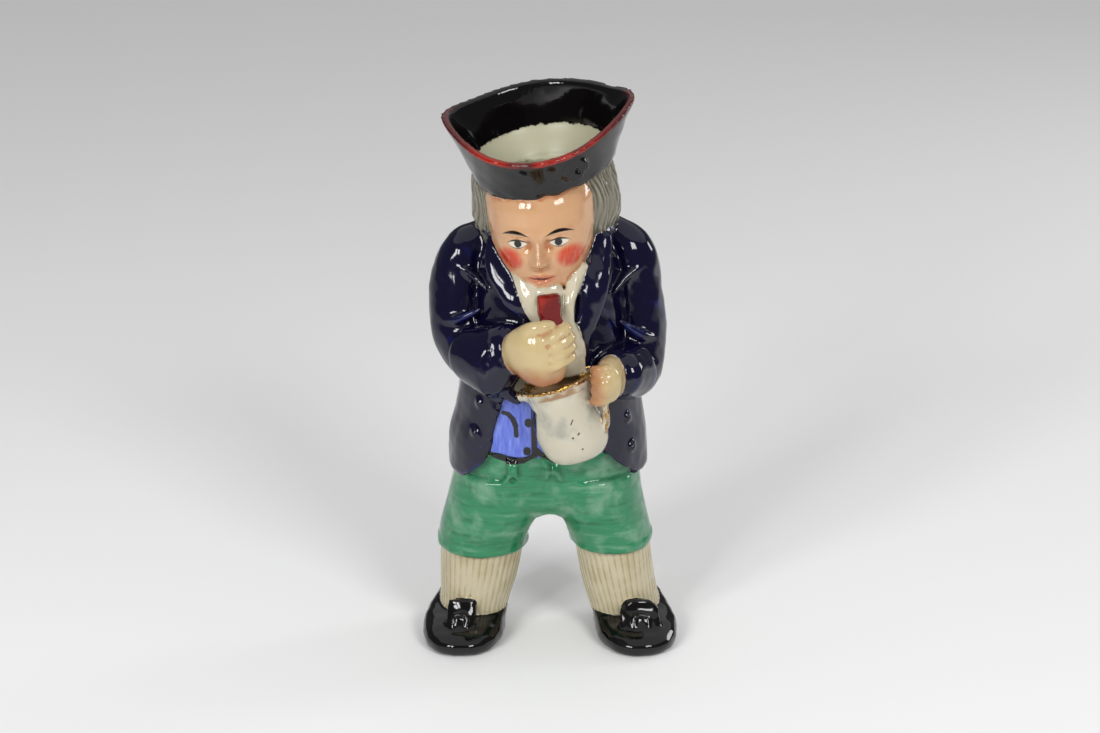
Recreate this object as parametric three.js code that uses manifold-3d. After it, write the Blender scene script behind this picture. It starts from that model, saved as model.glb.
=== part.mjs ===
// A standing toby jug: a slip-cast earthenware vessel in the shape of a stocky man who stands with his
// feet apart. His three-cornered hat is the open mouth of the jug. One hand is closed at his chin, the
// other holds a small pitcher against his belly, and a plain loop handle joins his hair to his back.
// Millimetres, +Z up, the figure faces -Y. The origin is under the middle of the whole jug, on the
// surface that it stands on.
import * as THREE from 'three';
import { mergeVertices } from 'three/addons/utils/BufferGeometryUtils.js';
import Module from 'manifold-3d';

const wasm = await Module();
wasm.setup();

// Driving sizes, in millimetres.
const HEIGHT = 264; // sole to the highest point of the hat
const WALL = 4.5; // thickness of the cast wall
const BRIM_THICKNESS = 3.6; // thickness of the hat's turned-up brim at its lip
const COAT_PROUD = 3.2; // how far the coat stands out from the clothes under it
const SHIRT_PROUD = 1; // how far the waistcoat and shirt stand out from the trunk
const HANDLE_WIDTH = 12; // across the handle, side to side
const HANDLE_DEPTH = 9; // through the handle, front to back
const HANDLE_GRIP = 23; // clear finger room between the coat's back and the handle
const SOLE_FLOOR = 8; // clay left under the hollow of each leg
const HAIR_LOCKS = 21; // locks combed round the hair
const STOCKING_RIBS = 15; // ribs round each stocking
const BUTTON_RADIUS = 2.4; // coat buttons
const BUTTON_PROUD = 1.3;
const BUCKLE_RADIUS = 4.8; // centre of a shoe buckle to the middle of its corner
const BUCKLE_SLOPE = 62; // degrees that a buckle is tipped up along the instep

// The figure's own proportions are in parts of its height, as a modeller measures them off a pattern.
const PARTS_TALL = 265.84;
const PART = HEIGHT / PARTS_TALL;
const part = (count) => count * PART;
const at = (x, y, z) => new THREE.Vector3(part(x), part(y), part(z));
const degrees = THREE.MathUtils.degToRad;

// Shapes of skin: every body below is a stack of rings, closed by a fan at each end.
function skin(rings) {
  const sides = rings[0].length;
  const position = [];
  const index = [];
  for (const ring of rings) for (const point of ring) position.push(point.x, point.y, point.z);
  const centreOf = (ring) => ring
    .reduce((sum, point) => sum.add(point), new THREE.Vector3())
    .divideScalar(sides);
  const first = centreOf(rings[0]);
  const last = centreOf(rings[rings.length - 1]);
  position.push(first.x, first.y, first.z, last.x, last.y, last.z);
  const firstCentre = rings.length * sides;
  const lastCentre = firstCentre + 1;
  const lastRing = (rings.length - 1) * sides;
  for (let side = 0; side < sides; side += 1) {
    const next = (side + 1) % sides;
    for (let level = 0; level < rings.length - 1; level += 1) {
      const low = level * sides;
      const high = low + sides;
      index.push(low + side, low + next, high + next, low + side, high + next, high + side);
    }
    index.push(firstCentre, next, side, lastCentre, lastRing + side, lastRing + next);
  }
  const geometry = new THREE.BufferGeometry();
  geometry.setAttribute('position', new THREE.Float32BufferAttribute(position, 3));
  geometry.setIndex(index);
  return geometry;
}

// One level ring: an ellipse, squarer as its power grows past 2, with an optional ripple round it.
function levelRing({ x, y, z, wide, deep, power = 2, sides = 32, ripple = 0, ripples = 0 }) {
  const points = [];
  for (let side = 0; side < sides; side += 1) {
    const turn = (side / sides) * 2 * Math.PI;
    const cos = Math.cos(turn);
    const sin = Math.sin(turn);
    const reach = (Math.abs(cos) ** power + Math.abs(sin) ** power) ** (-1 / power);
    const wave = ripple * Math.cos(ripples * turn);
    points.push(new THREE.Vector3(x + (wide * reach + wave) * cos, y + (deep * reach + wave) * sin, z));
  }
  return points;
}

// Rows of [height, x, y, half width, half depth, power], in parts, as a stack that can be grown by
// millimetres, or drawn in when grown is less than nothing.
function stack(rows, { sides = 32, grown = 0, ripple = 0, ripples = 0 } = {}) {
  return skin(rows.map(([z, x, y, wide, deep, power]) => levelRing({
    x: part(x),
    y: part(y),
    z: part(z),
    wide: part(wide) + grown,
    deep: part(deep) + grown,
    power,
    sides,
    ripple,
    ripples,
  })));
}

// The row of a table at any height, eased through the rows above and below it.
function rowAt(rows, z) {
  const columns = rows[0].length - 1;
  const heights = rows.map((row) => row[0]);
  const values = rows.flatMap((row) => row.slice(1));
  return [z, ...new THREE.CubicInterpolant(heights, values, columns).evaluate(z)];
}

const UPWARD = new THREE.Vector3(0, 0, 1);
const FORWARD = new THREE.Vector3(0, -1, 0);

// A limb: rows of [x, y, z, half width, half depth], in parts, along a smooth curve. The half depth is
// measured along up, and the half width across it.
function limb(rows, { sides = 6, steps = rows.length, up = UPWARD, grown = 0 } = {}) {
  const path = new THREE.CatmullRomCurve3(rows.map(([x, y, z]) => at(x, y, z)));
  const between = (place, column) => {
    const along = Math.min(place * (rows.length - 1), rows.length - 1.000001);
    const row = Math.floor(along);
    return THREE.MathUtils.lerp(rows[row][column], rows[row + 1][column], along - row);
  };
  const rings = [];
  for (let step = 0; step <= steps; step += 1) {
    const place = step / steps;
    const centre = path.getPoint(place);
    const tangent = path.getTangent(place);
    const deepWay = up.clone().addScaledVector(tangent, -up.dot(tangent)).normalize();
    const wideWay = deepWay.clone().cross(tangent);
    const wide = part(between(place, 3)) + grown;
    const deep = part(between(place, 4)) + grown;
    const ring = [];
    for (let side = 0; side < sides; side += 1) {
      const turn = (side / sides) * 2 * Math.PI;
      ring.push(centre.clone()
        .addScaledVector(wideWay, wide * Math.cos(turn))
        .addScaledVector(deepWay, deep * Math.sin(turn)));
    }
    rings.push(ring);
  }
  return skin(rings);
}

// A ball stretched to its half sizes, in parts.
function lump(x, y, z, wide, deep, tall, sides = 8) {
  const geometry = new THREE.SphereGeometry(1, sides, Math.round(sides * 0.7));
  geometry.rotateX(Math.PI / 2);
  geometry.scale(part(wide), part(deep), part(tall));
  geometry.translate(part(x), part(y), part(z));
  return geometry;
}

// A front view outline, points of [x, z] in parts, pushed through from one depth to another.
function frontCut(outline, front, back) {
  const points = outline.map(([x, z]) => new THREE.Vector2(part(x), part(z)));
  const shape = new THREE.Shape();
  shape.moveTo(points[0].x, points[0].y);
  shape.splineThru([...points.slice(1), points[0]]);
  const geometry = new THREE.ExtrudeGeometry(shape, {
    depth: part(back - front),
    bevelEnabled: false,
    curveSegments: 2,
  });
  geometry.rotateX(Math.PI / 2);
  geometry.translate(0, part(back), 0);
  return geometry;
}

// Solids: a closed geometry as a solid that can be joined and cut.
function solid(geometry) {
  const bare = geometry.clone();
  for (const name of Object.keys(bare.attributes)) if (name !== 'position') bare.deleteAttribute(name);
  const merged = mergeVertices(bare, 1e-4);
  const triangles = [];
  const corners = merged.index.array;
  for (let i = 0; i < corners.length; i += 3) {
    const [a, b, c] = corners.slice(i, i + 3);
    if (a !== b && b !== c && c !== a) triangles.push(a, b, c);
  }
  return new wasm.Manifold(new wasm.Mesh({
    numProp: 3,
    vertProperties: merged.attributes.position.array,
    triVerts: new Uint32Array(triangles),
  }));
}

// A bent limb can shed a crumb where it meets itself: only the body that counts is kept.
const largest = (whole) => whole.decompose()
  .reduce((kept, next) => (next.volume() > kept.volume() ? next : kept));

const joined = (geometries) => geometries.map(solid).reduce((whole, next) => whole.add(next));

function geometryOf(whole) {
  const mesh = whole.getMesh();
  const geometry = new THREE.BufferGeometry();
  geometry.setAttribute('position', new THREE.BufferAttribute(mesh.vertProperties, 3));
  geometry.setIndex(new THREE.BufferAttribute(mesh.triVerts, 1));
  return geometry;
}

// The head leans forward, to the figure's right, and turns a little the same way. The hat follows it.
function placed(geometry, { nod, lean, turn, centre }) {
  const turned = new THREE.Matrix4()
    .makeRotationFromEuler(new THREE.Euler(degrees(nod), degrees(lean), degrees(turn), 'ZYX'));
  geometry.applyMatrix4(turned);
  geometry.translate(centre.x, centre.y, centre.z);
  return geometry;
}

const HEAD_PLACE = { nod: 8, lean: -5, turn: -6, centre: at(-2.5, -11, 209) };
const HAT_PLACE = { nod: 11, lean: -7, turn: -6, centre: at(-1.5, -5.5, 230) };
const onHead = (geometry) => placed(geometry, HEAD_PLACE);
const onHat = (geometry) => placed(geometry, HAT_PLACE);

// The hat is a band that flares into a brim cocked up on three sides: a long back edge meets the two
// front ones in corners left and right, and the front comes down to a pouring lip. The foot of the hat
// is scalloped.
const HAT_LEVELS = [0, 0.12, 0.5, 1];
const HAT_SIDES = 34;
const HAT_SCALLOPS = 17;
const HAT_FOOT_RISE = 3.5; // how much higher the foot of the hat is on the figure's left, in parts

function hatRing(level, inset, sides, scalloped = true) {
  const ring = [];
  for (let side = 0; side < sides; side += 1) {
    const turn = (side / sides) * 2 * Math.PI;
    const cos = Math.cos(turn);
    const sin = Math.sin(turn);
    const front = Math.max(0, -sin);
    const back = Math.max(0, sin);
    const corner = Math.abs(cos) ** 7;
    const flare = level ** 1.25;
    const scallop = level === 0 && scalloped ? 0.7 * Math.cos(HAT_SCALLOPS * turn) : 0;
    const lifted = scalloped ? HAT_FOOT_RISE * (1 - level) * ((1 + cos) / 2) ** 2 : 0;
    const wide = 32 + 7 * flare + 5.2 * flare * corner + scallop;
    const deep = 32 + (7.5 * front + 4 * back) * flare + scallop;
    const rise = 27.5 + 1.5 * corner - 7.5 * front ** 1.5 + 1 * back;
    ring.push(new THREE.Vector3(
      (part(wide) - inset) * cos,
      (part(deep) - inset) * sin + part(5 * corner * flare),
      part(rise * level + scallop + lifted),
    ));
  }
  return ring;
}

function hat() {
  return [onHat(skin(HAT_LEVELS.map((level) => hatRing(level, 0, HAT_SIDES)))), cockade()];
}

// A round cockade is pinned to the brim, to the figure's left of its lip: a coil of ribbon.
function cockade() {
  const rows = [];
  const coils = 1.75;
  const steps = 12;
  for (let step = 0; step <= steps; step += 1) {
    const turn = (step / steps) * coils * 2 * Math.PI;
    const radius = 5.6 - 4.4 * (step / steps);
    const across = radius * Math.cos(turn);
    rows.push([17.5 + across * 0.85, -31.6 + across * 0.42, 12 + radius * Math.sin(turn), 1.2, 1.9]);
  }
  return onHat(limb(rows, { sides: 4, steps, up: new THREE.Vector3(0.45, -1, 0).normalize() }));
}

// The head, in its own frame: rows of [z, x, y, half width, half depth, power]. The face looks along
// -Y. It is a plain, calm one, with even thirds from hairline to brow, brow to nose and nose to chin,
// and five eyes wide.
const HEAD = [
  [-28, 0, -15.5, 5, 6, 2],
  [-26, 0, -14.5, 10.5, 11, 2],
  [-21, 0, -11, 15.8, 16.5, 2],
  [-14, 0, -7.5, 19.6, 20.5, 2.1],
  [-6, 0, -4.5, 22.6, 23.5, 2.1],
  [3, 0, -2, 24.2, 25.5, 2.1],
  [12, 0, 0, 24.6, 25.5, 2.1],
  [21, 0, 2, 23.5, 23.5, 2],
  [29, 0, 3, 23.5, 23, 2],
];
const HEAD_LEVELS = 19;
const HEAD_SIDES = 26;
const CHIN_Z = -27;
const HAIRLINE_Z = 17;
const THIRD = (HAIRLINE_Z - CHIN_Z) / 3;
const NOSE_BASE_Z = CHIN_Z + THIRD;
const BROW_Z = NOSE_BASE_Z + THIRD;
const EYE_WIDTH = 46 / 5;
const EYE_Z = BROW_Z - 3.6;
const MOUTH_Z = NOSE_BASE_Z - THIRD / 3;

// How far each feature stands out from the plain head: [x, z, reach across, reach up, height], in
// parts. Those off the middle line are on both sides.
const FEATURES = [
  [0, BROW_Z - 5, 2, 5, 2.2],
  [0, NOSE_BASE_Z + 5.5, 2.2, 4, 3.4],
  [0, NOSE_BASE_Z + 2.6, 2.7, 2.2, 3.6],
  [0, MOUTH_Z + 1.1, 5, 1.1, 1.5],
  [0, MOUTH_Z - 1.9, 4.4, 1.3, 1.6],
  [0, MOUTH_Z - 0.3, 5.5, 0.5, -0.7],
  [0, MOUTH_Z - 5, 4.5, 1.6, -0.7],
  [0, CHIN_Z + 4.5, 5.5, 4, 2],
  [3.1, NOSE_BASE_Z + 2.2, 1.5, 1.7, 2],
  [4.6, BROW_Z - 4.6, 2.6, 2.6, -1.9],
  [EYE_WIDTH, EYE_Z, 5.6, 3.4, -2.2],
  [EYE_WIDTH, EYE_Z, 3.9, 2, 2.6],
  [9.5, BROW_Z + 0.8, 6, 1.6, 1.4],
  [13, NOSE_BASE_Z + 4.5, 5, 4.5, 1.5],
];

function faceRelief(x, z) {
  return FEATURES.reduce((sum, [across, up, wide, tall, height]) => sum
    + height * Math.exp(-(((Math.abs(x) - across) / wide) ** 2) - ((z - up) / tall) ** 2), 0);
}

// Columns crowd to the front of the head, where its features are.
function headTurn(side) {
  const share = (side / HEAD_SIDES) * 2 - 1;
  return -Math.PI / 2 + Math.PI * (0.4 * share + 0.6 * share ** 3);
}

function head() {
  const lowest = HEAD[0][0];
  const highest = HEAD[HEAD.length - 1][0];
  const rings = [];
  for (let level = 0; level < HEAD_LEVELS; level += 1) {
    const z = THREE.MathUtils.lerp(lowest, highest, level / (HEAD_LEVELS - 1));
    const [, , y, wide, deep, power] = rowAt(HEAD, z);
    const ring = [];
    for (let side = 0; side < HEAD_SIDES; side += 1) {
      const turn = headTurn(side);
      const cos = Math.cos(turn);
      const sin = Math.sin(turn);
      const reach = (Math.abs(cos) ** power + Math.abs(sin) ** power) ** (-1 / power);
      const x = wide * reach * cos;
      const forward = sin < 0 ? faceRelief(x, z) * sin * sin : 0;
      ring.push(at(x, y + deep * reach * sin - forward, z));
    }
    rings.push(ring);
  }
  return onHead(skin(rings));
}

// Hair combed down on both sides and behind, from under the hat to the collar.
const HAIR = [
  [-21, 0.5, 9, 21, 18, 2],
  [-16, 0.5, 10, 27, 22, 2],
  [-9, 0.5, 10, 30.6, 24, 2],
  [0, 0.5, 10, 33.6, 25.4, 2],
  [15, 0.5, 11, 32.5, 26, 2],
  [36, 0.5, 14, 28, 25, 2],
];

function hair() {
  return onHead(stack(HAIR, { sides: HAIR_LOCKS * 2, ripple: part(0.6), ripples: HAIR_LOCKS }));
}

// The coat hangs open. Its fronts are cut away below, so that the waistcoat and breeches show.
const COAT_HEM = 86;
const COAT_OPENING = [
  [-50, 70],
  [-44, 82],
  [-36.5, 89.7],
  [-30.6, 95.5],
  [-27, 103],
  [-25.5, 113],
  [-20.9, 128],
  [-7, 172],
  [-13.5, 190],
  [-25.5, 215],
  [21.5, 215],
  [21, 190],
  [12.5, 165],
  [12, 150],
  [19.6, 128],
  [22.6, 109],
  [24.8, 104],
  [30.3, 97.2],
  [36.6, 91.2],
  [45, 83],
  [51, 70],
];

const COAT = [
  [COAT_HEM, -0.5, 0, 42.3, 29.3, 2.3],
  [COAT_HEM + 1.5, -0.5, 0, 43.3, 30.3, 2.3],
  [101, -0.5, 0, 42.8, 30.5, 2.4],
  [117, 0, 0.3, 39.6, 30, 2.4],
  [142, 0, 2, 36.5, 30, 2.3],
  [183, 0, 4.4, 33, 26.8, 2.1],
  [197, -0.5, 3, 27, 22.5, 2],
  [207, -1.5, -0.5, 21, 18.5, 2],
];

function coat() {
  const body = solid(stack(COAT, { sides: 22, grown: COAT_PROUD, ripple: part(0.5), ripples: 6 }));
  const opening = solid(frontCut(COAT_OPENING, -70, -15));
  return body.subtract(opening).add(joined([...collarAndLapels(), ...buttons(), ...backPleats()]));
}

function collarAndLapels() {
  const out = new THREE.Vector3(0, -1, 0.25).normalize();
  return [
    limb([
      [-22, -17, 199, 3.5, 3],
      [-27, -4, 204, 4.5, 3.5],
      [-20, 15, 207, 5, 4],
      [0, 25, 207, 5.5, 4],
      [19, 15, 207, 5, 4],
      [26, -4, 205, 4.5, 3.5],
      [22, -17, 200, 3.5, 3],
    ], { sides: 5, steps: 8 }),
    limb([
      [-23, -17, 201, 5, 2.6],
      [-22.2, -24.4, 190, 6.5, 2.8],
      [-16, -32, 178, 5.5, 2.8],
      [-8.5, -35.5, 169, 1.4, 1.6],
    ], { steps: 4, up: out }),
    limb([
      [23.5, -15.5, 202, 5, 3],
      [21.4, -22.5, 190, 6.5, 4],
      [19.2, -29, 180, 7.2, 4.5],
      [17, -31, 170, 6.4, 4.5],
      [15.2, -33, 160, 4.6, 4],
      [15.5, -35, 152, 1.8, 2],
    ], { steps: 6, up: out }),
  ];
}

// Turned buttons lie on the coat: [x, z, front or back].
function buttons() {
  const front = -1;
  const back = 1;
  const sewn = [
    [-32.5, 124, front],
    [-34.5, 110, front],
    [36.5, 116, front],
    [39, 102, front],
    [-11, 126, back],
    [11, 126, back],
  ];
  return sewn.map(([x, z, side]) => {
    const [, , y, wide, deep, power] = rowAt(COAT, z);
    const share = Math.abs(x) / (wide + COAT_PROUD / PART);
    const surface = y + side * (deep + COAT_PROUD / PART) * (1 - share ** power) ** (1 / power);
    const dome = new THREE.SphereGeometry(1, 5, 3);
    dome.scale(BUTTON_RADIUS, BUTTON_PROUD, BUTTON_RADIUS);
    dome.applyQuaternion(new THREE.Quaternion().setFromUnitVectors(
      FORWARD,
      new THREE.Vector3(x * share, side * deep * (1 - share ** 2), 0).normalize(),
    ));
    dome.translate(part(x), part(surface), part(z));
    return dome;
  });
}

// Two pleats run down the back of the skirts beside a middle vent.
function backPleats() {
  return [-11, 11].map((x) => limb([
    [x, 31 - Math.abs(x) * 0.17, 126, 1, 1.4],
    [x * 1.05, 33 - Math.abs(x) * 0.2, 108, 2.4, 2.2],
    [x * 1.1, 33.5 - Math.abs(x) * 0.24, 89, 3, 2.2],
  ], { sides: 5, steps: 3, up: FORWARD }));
}

// Sleeves. Each runs from the shoulder down to the elbow and forward to the wrist, and ends in a wide
// turned-back cuff. The hollow of the jug runs on inside them.
const RIGHT_SLEEVE = [
  [-27, 4, 196, 9, 9],
  [-37, 3, 187.5, 12.5, 12.5],
  [-41, 1, 172, 14, 14.5],
  [-40.5, -3, 155, 14, 14.5],
  [-35.5, -12, 145, 12.5, 13],
  [-27, -26, 148, 11, 11.5],
  [-18, -38, 155, 9.5, 10.5],
];
const LEFT_SLEEVE = [
  [26, 4, 198.5, 9, 9],
  [36.5, 3, 188.6, 12, 12.2],
  [39.5, 1, 170, 13, 14],
  [40.5, -3, 150, 13.8, 14],
  [39, -11, 137, 12.8, 13],
  [35, -24, 140, 11, 11],
  [30, -35, 145, 9, 10],
];
const SLEEVE_UP = new THREE.Vector3(0, -1, 0.35).normalize();

function sleeves() {
  return [
    limb(RIGHT_SLEEVE, { sides: 9, steps: 8, up: SLEEVE_UP }),
    limb(LEFT_SLEEVE, { sides: 9, steps: 8, up: SLEEVE_UP }),
    limb([
      [-35, -19, 146, 11.5, 12],
      [-33, -22, 146.8, 13.8, 14],
      [-20.5, -37, 149, 17.5, 12.5],
      [-19, -39.5, 149, 15.5, 9],
    ], { sides: 8, steps: 3, up: SLEEVE_UP }),
    limb([
      [-28, -26, 141, 4, 7],
      [-20, -35, 135, 3.6, 5],
      [-13.5, -38, 129.5, 1.2, 1.6],
    ], { sides: 6, steps: 3, up: SLEEVE_UP }),
    limb([
      [38, -18, 138.5, 11, 11.5],
      [36.5, -21, 139, 13, 13.5],
      [30.5, -36, 142.5, 10.8, 12],
      [29.5, -38, 143, 8.8, 10],
    ], { sides: 8, steps: 3, up: SLEEVE_UP }),
    ...sleeveFolds(),
  ];
}

// Soft folds gather in the crook of each elbow and across the upper arms.
function sleeveFolds() {
  const across = [
    [[-50, -11, 160], [-42, -16.5, 162], [-31, -20, 168]],
    [[-45, -8, 186], [-36, -11, 183], [-28, -18, 177]],
    [[50, -12, 152], [42, -17, 155], [32, -21, 163]],
    [[44, -8, 186], [36, -11, 182], [29, -18, 175]],
  ];
  return across.map(([start, middle, end]) => limb([
    [...start, 0.8, 0.8],
    [...middle, 2.4, 2],
    [...end, 1, 1],
  ], { sides: 5, steps: 3 }));
}

// The shirt and waistcoat fill the opening of the coat, and end in a hem over the breeches.
const WAISTCOAT_HEM = 100;

function waistcoat() {
  const rows = [
    [WAISTCOAT_HEM, 0, 0, 39.5, 30.5, 2.4],
    [WAISTCOAT_HEM + 1, 0, 0, 40, 31, 2.4],
    [122, 0, 0.5, 38.5, 30, 2.3],
    [158, 0, 3, 35, 29.5, 2.2],
    [188, 0, 4.5, 33, 26, 2.1],
    [198, -1, 2, 28.5, 23.5, 2],
    [208, -1.5, -1, 25, 24, 2],
  ];
  const hem = [
    [-34, 92],
    [-28, 101.5],
    [-10, 98.5],
    [-3, 101],
    [0, 101],
    [10, 97],
    [30, 101.5],
    [36, 92],
  ];
  return solid(stack(rows, { sides: 20, grown: SHIRT_PROUD }))
    .subtract(solid(frontCut(hem, -60, -27)));
}

function shirtFront() {
  return [
    limb([
      [-2, -25, 194, 9, 4],
      [-3.5, -32, 185, 8.4, 4],
      [1, -36.5, 170, 9, 4.5],
      [7, -37.5, 156, 8.5, 4],
      [11, -37, 144, 6, 3],
    ], { sides: 8, steps: 5, up: FORWARD }),
    limb([
      [-17, -24, 196, 3, 2],
      [-12.4, -30.6, 186, 3.2, 2.2],
      [-8.6, -35.5, 176, 3, 2.4],
      [-6, -37, 169, 2, 2],
    ], { sides: 5, steps: 4, up: FORWARD }),
    limb([
      [15, -26, 191, 2.4, 1.6],
      [11.4, -31.4, 185, 3, 2.2],
      [9, -36.6, 176, 2.6, 2.4],
      [9.4, -38, 163, 2.6, 2.4],
      [13.5, -38.5, 153, 2.2, 2.2],
    ], { sides: 5, steps: 5, up: FORWARD }),
  ];
}

// The free end of the cravat is a plain tab that slopes down from the shirt over the closed hand. Its
// outline is in its own plane, from the middle of its upper edge.
const CRAVAT = [[-4.9, -0.8], [4.5, 0], [5.7, -15.8], [1.8, -15.4], [-4, -11]];
const CRAVAT_SLOPE = 42; // degrees that the tab's face is tipped back from level
const CRAVAT_TOP = at(0, -39.5, 181.8);
const CRAVAT_THICK = 7; // the clay under the tab runs on into the shirt, in parts

function cravat() {
  const shape = new THREE.Shape(CRAVAT.map(([x, z]) => new THREE.Vector2(part(x), part(z))));
  const tab = new THREE.ExtrudeGeometry(shape, {
    depth: part(CRAVAT_THICK),
    bevelEnabled: true,
    bevelSize: part(0.5),
    bevelThickness: part(0.5),
    bevelSegments: 1,
  });
  tab.translate(0, 0, part(-CRAVAT_THICK - 0.5));
  tab.rotateX(degrees(CRAVAT_SLOPE));
  tab.translate(CRAVAT_TOP.x, CRAVAT_TOP.y, CRAVAT_TOP.z);
  return [tab];
}

// The right hand is closed with its back outwards. Four fingers slant up and fold away on the figure's
// left of it, each from [x, z] at its knuckle to [x, z] at its bend, and the thumb lies along the top.
const FINGERS = [
  [-1.5, 163.8, 7.2, 169.8],
  [-0.5, 159.4, 8.6, 165.4],
  [0, 155, 9.2, 161],
  [-1.2, 150.2, 9, 156.4],
];

function rightHand() {
  const palm = limb([
    [-13.5, -38, 153, 10, 8],
    [-9.5, -45, 154.8, 13.8, 8],
    [-4, -49, 156, 14.6, 8.2],
    [1.5, -48.5, 156.2, 13.2, 6],
    [5, -47, 157, 9.5, 4.5],
  ], { sides: 9, steps: 5, up: FORWARD });
  const thumb = limb([
    [-13, -44, 164, 3.4, 3.6],
    [-8.5, -50, 168.2, 3.6, 3.6],
    [-3.5, -51.6, 170.2, 3.2, 3],
    [0.6, -51, 170.6, 2.2, 2.2],
  ], { sides: 5, steps: 4 });
  const fingers = FINGERS.map(([x, z, bendX, bendZ]) => limb([
    [x, -52.8, z, 2.8, 1.9],
    [THREE.MathUtils.lerp(x, bendX, 0.5), -54.4, THREE.MathUtils.lerp(z, bendZ, 0.6), 3.2, 2.2],
    [bendX, -51.2, bendZ, 3, 2.2],
    [bendX + 0.4, -45.5, bendZ - 0.8, 2.4, 2.2],
  ], { sides: 5, steps: 4 }));
  return [palm, thumb, ...fingers];
}

// The left hand grips the pitcher's handle: its smooth back faces out and its finger tips show.
function leftHand() {
  const pieces = [
    limb([
      [28.5, -35, 142.5, 7, 9],
      [26.6, -42, 142.5, 7, 10.2],
      [25.6, -48, 142.5, 6.4, 9.6],
      [24.6, -52, 142, 3.8, 5.5],
    ], { sides: 9, steps: 5 }),
  ];
  const fingers = 4;
  for (let finger = 0; finger < fingers; finger += 1) {
    const drop = finger * 4.8;
    pieces.push(limb([
      [25.5, -50.4, 150.2 - drop, 2, 2.2],
      [21.8, -50.6, 149.6 - drop, 2.2, 2.4],
      [19.8, -46.6, 148.6 - drop, 2, 2.2],
    ], { sides: 5, steps: 3 }));
  }
  return pieces;
}

// The small pitcher in his hand: a tall round body with a wide mouth, leaning with its lip towards the
// closed hand. Its own frame has its foot at the origin.
const PITCHER = [
  [0, 7],
  [1.8, 11.5],
  [6.5, 14.8],
  [15, 16.4],
  [24, 15.7],
  [30, 14.4],
  [35, 15.4],
  [38.6, 17],
];
const PITCHER_SIDES = 16;
const PITCHER_PLACE = { nod: -4, lean: -17, turn: 0, centre: at(14.6, -39, 103) };

function pitcherBody() {
  const profile = PITCHER.map(([z, radius]) => new THREE.Vector2(part(radius), part(z)));
  const foot = new THREE.Vector2(0, profile[0].y);
  const top = new THREE.Vector2(0, profile[profile.length - 1].y);
  const turned = new THREE.LatheGeometry([foot, ...profile, top], PITCHER_SIDES);
  turned.rotateX(Math.PI / 2);
  turned.scale(1, 0.86, 1);
  return turned;
}

function pitcher() {
  const body = solid(placed(pitcherBody(), PITCHER_PLACE));
  const lip = solid(placed(lump(-14.5, 0, 36.3, 4.4, 5.2, 3.4, 6), PITCHER_PLACE));
  const dish = solid(placed(lump(-1, 0, 41.6, 16, 13.4, 7, 10), PITCHER_PLACE));
  const loop = solid(limb([
    [22.5, -46, 136, 2, 2],
    [25, -46, 130, 1.8, 1.8],
    [25.6, -44, 122, 1.8, 1.8],
    [23, -42, 115.5, 1.8, 1.8],
  ], { sides: 5, steps: 5, up: FORWARD }));
  return body.add(lip).subtract(dish).add(loop);
}

// Breeches: the hips fork into two short wide legs that end in a band at the knee.
const LEG_LINES = [
  [
    [46, -31.6, -1, 21.3, 22.1],
    [53, -30, -1, 22.2, 23],
    [66, -24.5, -0.5, 24.5, 25.5],
    [86, -19, 0, 25.5, 28.5],
  ],
  [
    [48, 29.4, -1, 19.5, 22.4],
    [53, 28, -1, 20.3, 23],
    [66, 22.8, -0.5, 22.5, 25.5],
    [86, 17.5, 0, 25, 28.5],
  ],
];
const STOCKING_LINES = [
  [
    [5, -37, 0, 16, 17],
    [14, -36, 1, 16.6, 17.8],
    [28, -33.8, 0.2, 18.4, 18.8],
    [48, -31.7, -1, 20.2, 20.5],
  ],
  [
    [5, 38.5, 0, 16.5, 17],
    [14, 36.2, 1, 17.3, 17.8],
    [28, 33, 0.2, 17.7, 18.8],
    [48, 30, -1, 18, 20.5],
  ],
];
const CROTCH = [[-16, 36], [-11.5, 49], [-7.5, 61.5], [0, 67.8], [6.5, 63.3], [10, 51.5], [15, 36]];
const LEG_POWER = 2.1;
const LEG_SIDES = 16;
const asLeg = (rows) => rows.map((row) => [...row, LEG_POWER]);

function breeches() {
  const hips = stack([
    [62, 0, 0, 30, 14, 2.2],
    [66, 0, 0, 35, 20, 2.2],
    [71, -0.5, 0, 40, 24.5, 2.3],
    [78, -1.2, 0, 42.8, 27.5, 2.4],
    [104, 0, 0, 40, 30, 2.4],
  ], { sides: 20 });
  const crotch = frontCut(CROTCH, -60, 60);
  const legs = LEG_LINES.map((rows) => stack(asLeg(rows), { sides: LEG_SIDES }));
  const bands = LEG_LINES.map(([[z, x, y, wide, deep]]) => stack(asLeg([
    [z, x, y, wide, deep],
    [z + 0.8, x, y, wide + 0.5, deep + 0.6],
    [z + 3.4, x, y, wide + 0.5, deep + 0.6],
  ]), { sides: LEG_SIDES }));
  const gathers = [-19, -14.5, -2, 5].map((x, place) => {
    const bent = place % 2 === 0 ? 1.5 : -1.5;
    return limb([
      [x, -29, 98, 0.8, 0.8],
      [x + bent, -30.2, 92.5, 1.6, 1.4],
      [x - bent, -28, 86.5, 0.8, 0.8],
    ], { sides: 4, steps: 3, up: FORWARD });
  });
  return joined([hips, ...legs]).subtract(solid(crotch)).add(joined([...bands, ...gathers]));
}

function stockings() {
  return STOCKING_LINES.map((rows) => stack(asLeg(rows), {
    sides: STOCKING_RIBS * 2,
    ripple: part(0.5),
    ripples: STOCKING_RIBS,
  }));
}

// Shoes: a low round shoe with a flat sole, a tongue over the instep and a buckle on it.
const SHOES = [
  { x: -40, turn: -5, inward: 1, tongue: [6.6, 6.9, 7.1, 6.6] },
  { x: 40.5, turn: 7, inward: -1, tongue: [8, 10, 9.8, 6] },
];
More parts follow.
